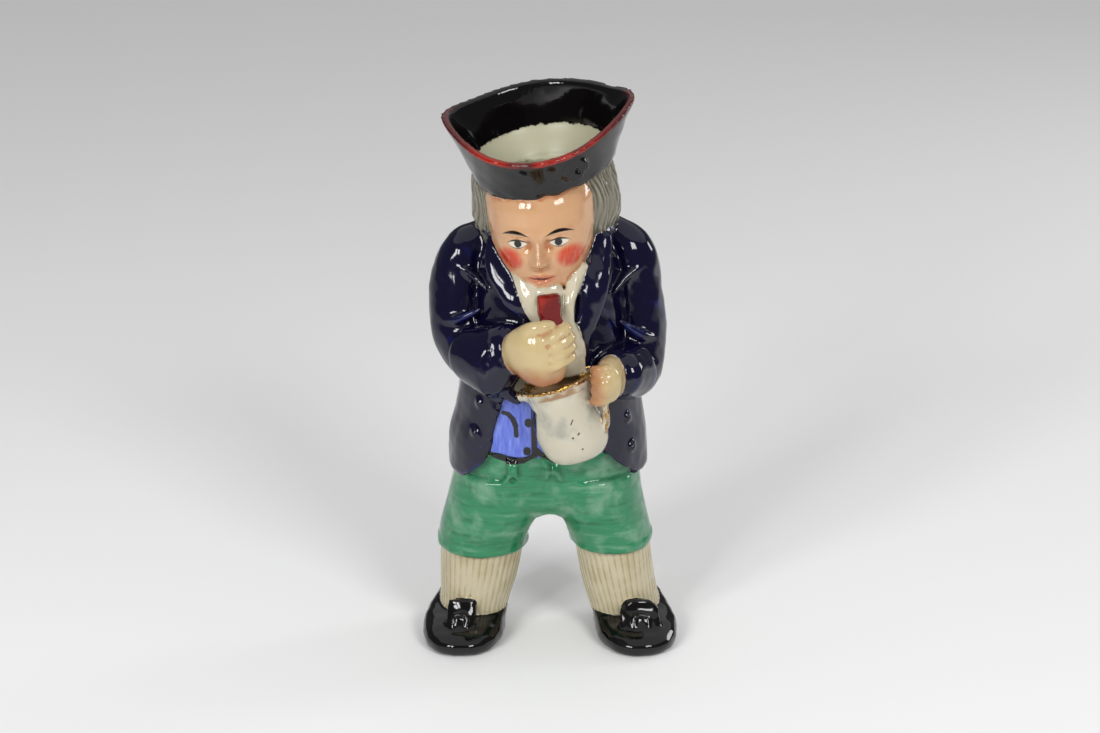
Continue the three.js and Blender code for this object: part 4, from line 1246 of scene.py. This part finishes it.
# Strokes brushed on the front, each as [x, z] from and to, and its width: the front edge, the hem,
# the pocket, the buttons and two kiln specks
WAISTCOAT_LINES = (
    ((-6.9, 126), (-6.7, 101), 2.7),
    ((-29, 101), (-25, 99.6), 3.0), ((-25, 99.6), (-19, 98.4), 3.4), ((-19, 98.4), (-12, 98.2), 3.6),
    ((-12, 98.2), (-6.7, 101.4), 3.2), ((-6, 104.4), (-1.5, 100.4), 3.0), ((-1.5, 100.4), (2, 98.4), 2.6),
    ((-20.8, 121), (-18.6, 120.6), 2.0), ((-18.6, 120.6), (-16.6, 118.6), 2.4),
    ((-16.6, 118.6), (-15.2, 115.4), 2.6), ((-15.2, 115.4), (-14.9, 110.8), 2.2),
    ((-9.3, 117.4), (-9.3, 116.8), 3.6), ((-10, 103.9), (-10, 103.3), 3.6),
    ((9.7, 124.4), (10.5, 126.4), 0.5), ((13, 119.8), (13.4, 120.4), 0.7),
)
# The x that parts the right hand from the left
HANDS_MEET = 14.0


def lead_glazed_earthenware(colours, sizes):
    """Underglaze colours on cream earthenware, all under one thick clear lead glaze.

    It gives deep colours, hard bright highlights that wobble with the hand-dipped surface, colour pooling in
    the creases and thin colour on the edges. It also carries painted light: shade in the creases, on the
    hands and in the pitcher's dish, a sheen on the coat's ridges, highlights on the hair's strands and a
    lighter front on the brim's red.
    """
    material = bpy.data.materials.new("lead_glazed_earthenware")
    material.use_nodes = True
    tree = material.node_tree
    tree.nodes.clear()

    def add(kind, inputs=None, out=0, **settings):
        return node(tree, kind, inputs, out, **settings)

    def paint(name):
        return (*(linear(INKS[name]) if name in INKS else getattr(colours, name)), 1)

    def region(name, low=-0.25, high=0.1, ragged=0.5):
        margin = add("ShaderNodeAttribute", out="Fac", attribute_name=f"margin_{name}")
        shaken = add(MATH, {0: edge, 1: ragged, 2: margin}, operation="MULTIPLY_ADD")
        return add(RANGE, {"Value": shaken, "From Min": low + ragged / 2, "From Max": high + ragged / 2})

    # Places on the whole figure, and in the leaning frames of its head, hat and pitcher
    point = add("ShaderNodeTexCoord", out="Object")
    figure = add("ShaderNodeMapping", {
        "Vector": point, "Location": tuple(-CENTRE_M), "Scale": (PART_M,) * 3,
    }, vector_type="TEXTURE")
    x, y, z = (add("ShaderNodeSeparateXYZ", {0: figure}, axis) for axis in "XYZ")
    flat = add("ShaderNodeCombineXYZ", {0: x, 1: z})
    head_x, head_y, head_z = seen_in(add, figure, *HEAD_PLACE)
    _, hat_y, hat_z = seen_in(add, figure, *HAT_PLACE)
    pitcher_x, pitcher_y, pitcher_z = seen_in(add, figure, *PITCHER_PLACE)
    from_axis = add("ShaderNodeCombineXYZ", {0: pitcher_x, 1: pitcher_y})
    from_axis = add(VECTOR, {0: from_axis}, "Value", operation="LENGTH")
    bend = add("ShaderNodeAttribute", out="Fac", attribute_name="bend")
    from_lip = add("ShaderNodeAttribute", out="Fac", attribute_name="from_lip")

    # Noises of the hand and the kiln, by their size in millimetres, and two sets of brush strokes
    grit, edge, patch, broad = (
        add(NOISE, {"Vector": figure, "Scale": 1 / size, "Detail": detail})
        for size, detail in ((0.8, 2.0), (2.6, 3.0), (11, 3.0), (26, 2.0))
    )
    strokes, slanting = (
        add(NOISE, {
            "Vector": add("ShaderNodeMapping", {"Vector": figure, "Rotation": (0, turn, 0), "Scale": shrunk}),
            "Scale": scale, "Detail": detail, "Roughness": rough,
        })
        for turn, shrunk, scale, detail, rough in (
            (0.06, (0.05, 0.07, 0.42), 0.8, 5.0, 0.66), (-0.7, (0.6, 0.3, 0.1), 0.9, 4.0, 0.62),
        )
    )
    speck = add("ShaderNodeTexVoronoi", {"Vector": figure, "Scale": 1 / 9.0}, "Distance")

    # Ribs round each stocking
    leg = []
    for start, change in LEG_MIDDLES:
        middle = add(MATH, {0: z, 1: change, 2: start}, operation="MULTIPLY_ADD")
        off = add(MATH, {0: x, 1: middle}, operation="SUBTRACT")
        back = add(MATH, {0: y, 1: -1.0}, operation="MULTIPLY")
        leg.append(add(MATH, {0: off, 1: back}, operation="ARCTAN2"))
    left = add(MATH, {0: x, 1: 0.0}, operation="GREATER_THAN")
    rib = add(MIX, {0: left, 2: leg[0], 3: leg[1]})

    # Comb marks round the hair, which sway as they go down
    behind = add(MATH, {0: head_y, 1: -1.0, 2: 10.0}, operation="MULTIPLY_ADD")
    comb = add(MATH, {0: head_x, 1: behind}, operation="ARCTAN2")
    sway = add(MATH, {0: head_z, 1: 0.22}, operation="MULTIPLY")
    sway = add(MATH, {0: head_x, 1: 0.1, 2: sway}, operation="MULTIPLY_ADD")
    sway = add(MATH, {0: sway}, operation="SINE")
    comb = add(MATH, {0: sway, 1: 0.05, 2: comb}, operation="MULTIPLY_ADD")
    waves = []
    for turn, count in ((rib, sizes.ribs), (comb, sizes.strands)):
        turn = add(MATH, {0: turn, 1: count / 2}, operation="MULTIPLY")
        turn = add(MATH, {0: turn}, operation="SINE")
        waves.append(add(MATH, {0: turn}, operation="ABSOLUTE"))
    rib, comb = waves

    # Masks, each a soft step of a place or a noise: where it starts and ends, and its strength
    hand_level, hand_side, bowl_level, lip_reach, brim_side, rim_level = (
        add(MATH, {0: noise, 1: reach, 2: measured}, operation="MULTIPLY_ADD")
        for noise, reach, measured in (
            (patch, 9.0, z), (patch, 6.0, x), (edge, 3.2, hat_z), (edge, 0.9, from_lip), (edge, 6.0, hat_y),
            (edge, 2.4, pitcher_z),
        )
    )
    mask = {}
    for name, source, low, high, strength in (
        # Concave creases, where colours darken as glaze pools and as painted shade; convex ridges, where
        # colours run thin (on the coat also a painted sheen)
        ("crease", bend, -0.02, -0.22, 1.0), ("ridge", bend, 0.03, 0.3, 1.0),
        ("pool", patch, 0.45, 0.75, 0.5), ("groove", rib, 0.7, 0.1, 0.65),
        ("rib_worn", patch, 0.3, 0.6, 0.75),
        ("thin_broad", broad, 0.5, 0.75, 0.5), ("thin_patch", patch, 0.6, 0.8, 0.35),
        ("dark_stroke", strokes, 0.48, 0.7, 0.75), ("pale_stroke", strokes, 0.46, 0.26, 0.5),
        ("pale_patch", patch, 0.46, 0.72, 0.6),
        ("blue_stroke", slanting, 0.45, 0.72, 0.75), ("blue_thin", slanting, 0.5, 0.28, 0.6),
        ("mark", comb, 0.7, 0.1, 1.0), ("mark_worn", patch, 0.25, 0.55, 1.0),
        # The crests of the comb strands, broken by random patches, which get painted highlights
        ("strand", comb, 0.8, 1.0, 1.0), ("strand_highlight_patch", patch, 0.4, 0.65, 0.7),
        ("flesh_shade", patch, 0.5, 0.8, 0.35), ("cheek_stroke", slanting, 0.1, 0.5, 0.95),
        # Low on the closed right hand, and near the left hand's fingers: places that get painted shade
        ("low", hand_level, 158.5, 150.5, 0.8), ("at_fingers", hand_side, 31.0, 22.5, 0.7),
        ("blackened", bowl_level, 10.4, 11.1, 1.0),
        ("smudged", patch, 0.5, 0.76, 0.6), ("specked", speck, 0.07, 0.035, 1.0),
        # The pitcher's dish under the closed hand, which gets a painted shadow of the hand
        ("in_dish", from_axis, 14.6, 13.2, 1.0), ("dish_deep", pitcher_z, 33.0, 34.0, 0.8),
        ("cravat_thin", patch, 0.45, 0.75, 0.7),
        ("at_lip", lip_reach, 2.75, 2.35, 1.0), ("ahead", brim_side, 17.0, 11.0, 1.0),
        # The front of the brim, in random patches, where its red is painted lighter as painted light
        ("front", hat_y, -12.0, -34.0, 1.0), ("lit_patch", patch, 0.35, 0.6, 1.0),
        ("bare", grit, 0.77, 0.8, 1.0),
        ("over_neck", rim_level, 37.8, 38.5, 1.0), ("under_lip", rim_level, 43.0, 42.4, 1.0),
        ("tail_stroke", slanting, 0.42, 0.55, 1.0), ("tarnish", grit, 0.56, 0.62, 1.0),
        ("gilt_low", grit, 0.36, 0.44, 1.0), ("gilt_high", grit, 0.62, 0.56, 1.0),
        ("dull", broad, 0.3, 0.75, 0.06),
    ):
        mask[name] = add(RANGE, {0: source, 1: low, 2: high, 4: strength}, **SOFT)

    # A plain painted face, the same on both sides
    side = add(MATH, {0: head_x}, operation="ABSOLUTE")
    mask["cheek"] = round_patch(add, side, head_z, 13.4, NOSE_BASE_Z + 3.5, 5.4, 5.0, 0.75)
    mask["eye"] = round_patch(add, side, head_z, EYE_WIDE, EYE_Z, 4.1, 1.8, 0.25)
    mask["iris"] = round_patch(add, side, head_z, EYE_WIDE - 0.2, EYE_Z + 0.2, 1.7, 1.7, 0.3)
    mask["lips"] = round_patch(add, side, head_z, 0, MOUTH_Z - 0.4, 6.2, 2.2, 0.4)
    mask["mouth"] = brush_line(add, head_x, head_z, 0, MOUTH_Z - 0.35, 0.0, 0.012, 6.6, 0.42)
    for n, stroke in enumerate(FACE_LINES):
        mask[f"face_line_{n}"] = brush_line(add, side, head_z, *stroke)
    mask["gilt_rim"] = region("pitcher", -0.6, 0.0, 0.4)
    mask["gilt_tail"] = region("gilt", -0.4, 0.0, 0.4)
    mask |= {"patch": patch, "x": x, "y": y}

    # Masks made of others
    for name, a, b, operation in (
        # Cream darkened in random patches of pooling glaze, and in the creases as painted shade
        ("pooled_and_shaded", "pool", "crease", "MAXIMUM"),
        ("stained", "patch", 0.9, "MULTIPLY"), ("grooved", "groove", "rib_worn", "MULTIPLY"),
        # Cobalt on the coat's ridges: thin colour, and a painted sheen
        ("thin_ridge_sheen", "thin_broad", "ridge", "MULTIPLY"), ("thin", "thin_ridge_sheen", "thin_patch", "MAXIMUM"),
        ("worn_edge", "ridge", 0.1, "MULTIPLY"), ("faint_crease_shade", "crease", 0.55, "MULTIPLY"),
        # The darker wash in the comb marks, and painted shade in the hair's creases
        ("marked", "mark", "mark_worn", "MULTIPLY"), ("marked", "marked", "crease", "MAXIMUM"),
        # Painted highlights along the hair's strands
        ("lit", "strand", "strand_highlight_patch", "MULTIPLY"),
        # The face's flesh shadow: painted shade in the creases, with random patches of the same colour
        ("strong_crease_shade", "crease", 0.7, "MULTIPLY"), ("flesh_shade", "strong_crease_shade", "flesh_shade", "MAXIMUM"),
        # Painted shade on the hands: under the closed right hand, along the left hand's gripping fingers, and
        # in their creases
        ("right", "x", HANDS_MEET, "LESS_THAN"), ("under", "low", "right", "MULTIPLY"),
        ("left", "x", HANDS_MEET, "GREATER_THAN"), ("finger_shade", "left", "at_fingers", "MULTIPLY"),
        ("hand_shade", "under", "finger_shade", "MAXIMUM"), ("hand_shade", "hand_shade", "faint_crease_shade", "MAXIMUM"),
        ("cheek", "cheek", "cheek_stroke", "MULTIPLY"), ("dark", "iris", "eye", "MULTIPLY"),
        *[("dark", "dark", f"face_line_{n}", "MAXIMUM") for n in range(len(FACE_LINES))],
        # The painted shadow of the hand in the pitcher's dish
        ("lips", "lips", 0.65, "MULTIPLY"), ("dish", "in_dish", "dish_deep", "MULTIPLY"),
        # The brim's red painted lighter where its front is lit
        ("rim", "at_lip", "ahead", "MULTIPLY"), ("lit_front", "front", "lit_patch", "MULTIPLY"),
        ("gilding", "over_neck", "under_lip", "MULTIPLY"), ("gilding", "gilding", "gilt_rim", "MULTIPLY"),
        ("tail", "gilt_tail", "tail_stroke", "MULTIPLY"), ("gilding", "gilding", "tail", "MAXIMUM"),
        ("tarnished", "gilding", "tarnish", "MULTIPLY"),
        ("gilding", "gilding", "gilt_low", "MULTIPLY"), ("gilding", "gilding", "gilt_high", "MULTIPLY"),
        ("ahead_of_all", "y", -20.0, "LESS_THAN"),
    ):
        mask[name] = add(MATH, {0: mask.get(a, a), 1: mask.get(b, b)}, operation=operation)

    # Each paint: its name, what it lies on, and its washes by colour and mask. Colours pool in the creases,
    # darkened further there as painted shade, and run thin on the edges, where the coat's cobalt is also a
    # painted sheen; strokes cross the breeches, and brown is painted in the grooves between the ribs. The
    # hands and the pitcher's dish carry painted shade, the hair painted highlights, and the brim's front
    # painted light.
    coat_of = {}
    for name, ground, washes in (
        # The cream's shade: glaze pooling in patches, and painted shade in the creases
        ("cream", "cream", (("shade", "pooled_and_shaded"),)),
        # Stockings: random yellow stains, and darker brown painted in the grooves between the ribs
        ("stocking", "cream", (("stain", "stained"), ("rib_stain", "grooved"))),
        # Coat: cobalt where the colour runs thin, which on the ridges is also a painted sheen
        ("coat", "navy", (("cobalt", "thin"),)),
        ("black", "black", (("brown", "worn_edge"),)),
        ("breeches", "green", (
            ("green_dark", "dark_stroke"), ("green_pale", "pale_stroke"), ("green_pale", "pale_patch"),
            # Dark green in the creases: painted shade
            ("green_dark", "faint_crease_shade"),
        )),
        ("waistcoat", "blue", (("blue_dark", "blue_stroke"), ("blue_pale", "blue_thin"))),
        # Hair: painted highlights on the strands' crests, the darker wash in the comb marks, and painted
        # shade in the creases
        ("hair", "hair", (("hair_lit", "lit"), ("hair_dark", "marked"))),
        # Hands: painted shade under the right hand, along the left hand's fingers and in the creases
        ("hand", "hand", (("shadow", "hand_shade"),)),
        # The face: painted shade in its creases, then rouge, eyes, lips and mouth
        ("head", "flesh", (
            ("shadow", "flesh_shade"), ("rouge", "cheek"), ("eye_white", "eye"), ("eye_black", "dark"),
            ("lips", "lips"),
            ("mouth", "mouth"),
        )),
        ("inside", "inside", (("black", "blackened"),)),
        ("pitcher", "cream", (
            # Pitcher: grey patches and smudges, a painted shadow of the hand in its dish, and kiln specks
            ("dingy", "patch"), ("smudge", "smudged"), ("dish_wash", "dish"), ("kiln_speck", "specked"),
        )),
        ("cravat", "red", (("orange", "cravat_thin"),)),
        # The brim's red: painted light on its front, and worn white specks
        ("rim", "brim", (("brim_lit", "lit_front"), ("bare_speck", "bare"))),
    ):
        made = coat_of[ground] if ground in coat_of else paint(ground)
        for wash, through in washes:
            made = add(MIX, {0: mask[through], 6: made, 7: paint(wash)}, 2, **COLOUR)
        coat_of[name] = made

    # From the ground up, each colour keeps a hair short of the next
    colour = paint("ground")
    for name, top, low, high, ragged in (
        ("shirt", "cream", -0.5, -0.1, 0.5),
        ("inside", "inside", -0.4, -0.2, 0.1),
        ("stocking", "stocking", -0.4, -0.1, 0.3),
        ("pitcher", "pitcher", -0.3, 0.0, 0.4),
        ("hand", "hand", -0.25, 0.15, 0.5),
        ("head", "head", -0.4, -0.1, 0.4),
        ("waistcoat", "waistcoat", -0.1, 0.2, 0.5),
        ("hair", "hair", -0.3, 0.0, 0.6),
        ("breeches", "breeches", -0.35, 0.0, 1.2),
        ("gilt", "pitcher", -0.3, 0.0, 0.4),
        ("coat", "coat", -0.05, 0.25, 0.8),
        ("shoe", "black", -0.3, 0.0, 0.8),
        ("hat", "black", -0.3, 0.0, 0.6),
        ("cravat", "cravat", -0.1, 0.2, 0.4),
    ):
        colour = add(MIX, {0: region(name, low, high, ragged), 6: colour, 7: coat_of[top]}, 2, **COLOUR)

    # Outlines brushed on the waistcoat
    lines = None
    for start, end, width in WAISTCOAT_LINES:
        line = straight_line(add, flat, start, end, width)
        lines = line if lines is None else add(MATH, {0: lines, 1: line}, operation="MAXIMUM")
    lines = add(MATH, {0: lines, 1: mask["ahead_of_all"]}, operation="MULTIPLY")

    # Over all: the outlines, a red line round the hat's brim, painted lighter at its front as painted light,
    # with worn white specks, and worn gilding
    gilding = mask["gilding"]
    for through, top in (
        (lines, paint("black")), (mask["rim"], coat_of["rim"]), (mask["tarnished"], paint("tarnish")),
        (gilding, paint("gold")),
    ):
        colour = add(MIX, {0: through, 6: colour, 7: top}, 2, **COLOUR)

    # The dipped surface: a slow wobble, fine orange peel, and the comb and rib grooves sharpened
    wobble = add(NOISE, {"Vector": figure, "Scale": 1 / 9, "Detail": 1.0})
    peel = add(NOISE, {"Vector": figure, "Scale": 1 / 1.6, "Detail": 2.0})
    height = add(MATH, {0: wobble, 1: 0.14}, operation="MULTIPLY")
    height = add(MATH, {0: peel, 1: 0.007, 2: height}, operation="MULTIPLY_ADD")
    for name, wave, depth in (("hair", comb, 0.14), ("stocking", rib, 0.16)):
        worked = add(MATH, {0: region(name, -0.2, 0.3, 0.1), 1: wave}, operation="MULTIPLY")
        height = add(MATH, {0: worked, 1: depth, 2: height}, operation="MULTIPLY_ADD")
    bump = add("ShaderNodeBump", {"Height": height, "Distance": 0.001, "Strength": 1.0})

    # Glossy all over, and duller on the gilding and inside the hat
    roughness = add(MATH, {0: gilding, 1: 0.2, 2: mask["dull"]}, operation="MULTIPLY_ADD")
    roughness = add(MATH, {0: roughness, 1: 0.055}, operation="ADD")
    inside = region("inside", -0.4, -0.2, 0.1)
    pale_inside = add(MATH, {0: inside, 1: mask["blackened"]}, operation="SUBTRACT", use_clamp=True)
    roughness = add(MATH, {0: pale_inside, 1: 0.3, 2: roughness}, operation="MULTIPLY_ADD")
    surface = add("ShaderNodeBsdfPrincipled", {
        "Base Color": colour, "Roughness": roughness, "Metallic": gilding, "IOR": 1.5, "Normal": bump,
    })
    add("ShaderNodeOutputMaterial", {"Surface": surface})
    return material


class TOBY_OT_glaze(bpy.types.Operator):
    """Paint and glaze the casting"""

    bl_idname = "toby.glaze"
    bl_label = "Paint and glaze"

    def execute(self, context):
        material = lead_glazed_earthenware(context.scene.toby_colours, context.scene.toby_sizes)
        casting = bpy.data.objects["toby_casting"]
        casting.data.materials.clear()
        casting.data.materials.append(material)
        return {"FINISHED"}


# Stage: a plain pale floor, soft studio light and the camera

TARGET_M = Vector((-0.000518, -0.004847, 0.13109))
DISTANCE_M = 0.9931
ELEVATION = 20
LENS_MM = 70.25


# The image's shift against the lens, as shares of its width
SHIFT = (0.0009, 0.0026)
# Each soft box: name, azimuth and elevation in degrees, distance, width and height in metres, and watts
SOFT_BOXES = (
    ("key_left", -40, 26, 1.6, 0.26, 0.5, 7),
    ("key_left_pane", -27, 27, 1.6, 0.22, 0.5, 6),
    ("key_right", 32, 34, 1.6, 0.5, 0.42, 9.5),
    ("side_right", 113, 15, 1.6, 0.36, 0.5, 4.5),
)
FLOOR_M = 9
ROOM_LIGHT = 0.12
SKY_LIGHT = 1.05
SKY_WIDE = 100
SKY_TURN = (-12, 6, 0)


def soft_box(name, azimuth, elevation, distance, wide, tall, watts):
    """An area light that looks at the jug from an azimuth and elevation, in degrees."""
    a, e = math.radians(azimuth), math.radians(elevation)
    back = Vector((math.sin(a) * math.cos(e), -math.cos(a) * math.cos(e), math.sin(e)))
    light = bpy.data.lights.new(name, "AREA")
    light.shape = "RECTANGLE"
    light.size, light.size_y, light.energy = wide, tall, watts
    made = bpy.data.objects.new(name, light)
    looking = back.to_track_quat("Z", "Y").to_matrix().to_4x4()
    made.matrix_world = Matrix.Translation(TARGET_M + back * distance) @ looking
    bpy.context.scene.collection.objects.link(made)


class TOBY_OT_stage(bpy.types.Operator):
    """Lay the floor, set the lights and place the camera"""

    bl_idname = "toby.stage"
    bl_label = "Set the stage"

    def execute(self, context):
        scene = context.scene
        bpy.ops.object.select_all(action="DESELECT")
        bpy.ops.mesh.primitive_plane_add(size=FLOOR_M)
        floor = context.active_object
        floor.name = "floor"
        material = bpy.data.materials.new("matt_paper")
        material.use_nodes = True
        shader = material.node_tree.nodes["Principled BSDF"]
        shader.inputs["Base Color"].default_value = (*scene.toby_colours.floor, 1)
        shader.inputs["Roughness"].default_value = 0.9
        shader.inputs["Specular IOR Level"].default_value = 0.1
        floor.data.materials.append(material)

        world = bpy.data.worlds.new("studio")
        world.use_nodes = True
        world.node_tree.nodes["Background"].inputs["Color"].default_value = (*linear("#ffffff"), 1)
        world.node_tree.nodes["Background"].inputs["Strength"].default_value = ROOM_LIGHT
        scene.world = world
        for light in SOFT_BOXES:
            soft_box(*light)
        sky = bpy.data.lights.new("sky", "SUN")
        sky.energy, sky.angle = SKY_LIGHT, math.radians(SKY_WIDE)
        made = bpy.data.objects.new("sky", sky)
        made.rotation_euler = [math.radians(a) for a in SKY_TURN]
        scene.collection.objects.link(made)

        camera = bpy.data.objects.new("camera", bpy.data.cameras.new("camera"))
        scene.collection.objects.link(camera)
        camera.data.sensor_width = 36
        camera.data.lens = LENS_MM
        camera.data.shift_x, camera.data.shift_y = SHIFT
        camera.data.clip_start, camera.data.clip_end = 0.05, 20
        e = math.radians(ELEVATION)
        back = Vector((0, -math.cos(e), math.sin(e)))
        looking = back.to_track_quat("Z", "Y").to_matrix().to_4x4()
        camera.matrix_world = Matrix.Translation(TARGET_M + back * DISTANCE_M) @ looking
        scene.camera = camera
        scene.view_settings.view_transform = "Standard"
        return {"FINISHED"}


class TOBY_PT_panel(bpy.types.Panel):
    """Sizes, colours and steps of the jug"""

    bl_idname = "TOBY_PT_panel"
    bl_label = "Toby jug"
    bl_space_type = "VIEW_3D"
    bl_region_type = "UI"
    bl_category = "Toby jug"

    def draw(self, context):
        for group in (context.scene.toby_sizes, context.scene.toby_colours):
            column = self.layout.column(align=True)
            for name in group.__annotations__:
                column.prop(group, name)
        for step in STEPS:
            self.layout.operator(step.bl_idname)


STEPS = (TOBY_OT_casting, TOBY_OT_glaze, TOBY_OT_stage)
CLASSES = (TobySizes, TobyColours, *STEPS, TOBY_PT_panel)


def register():
    for some in CLASSES:
        bpy.utils.register_class(some)
    bpy.types.Scene.toby_sizes = PointerProperty(type=TobySizes)
    bpy.types.Scene.toby_colours = PointerProperty(type=TobyColours)


def unregister():
    del bpy.types.Scene.toby_colours
    del bpy.types.Scene.toby_sizes
    for some in reversed(CLASSES):
        bpy.utils.unregister_class(some)


def main():
    register()
    bpy.ops.toby.casting()
    bpy.ops.toby.glaze()
    bpy.ops.toby.stage()


if __name__ == "__main__":
    main()
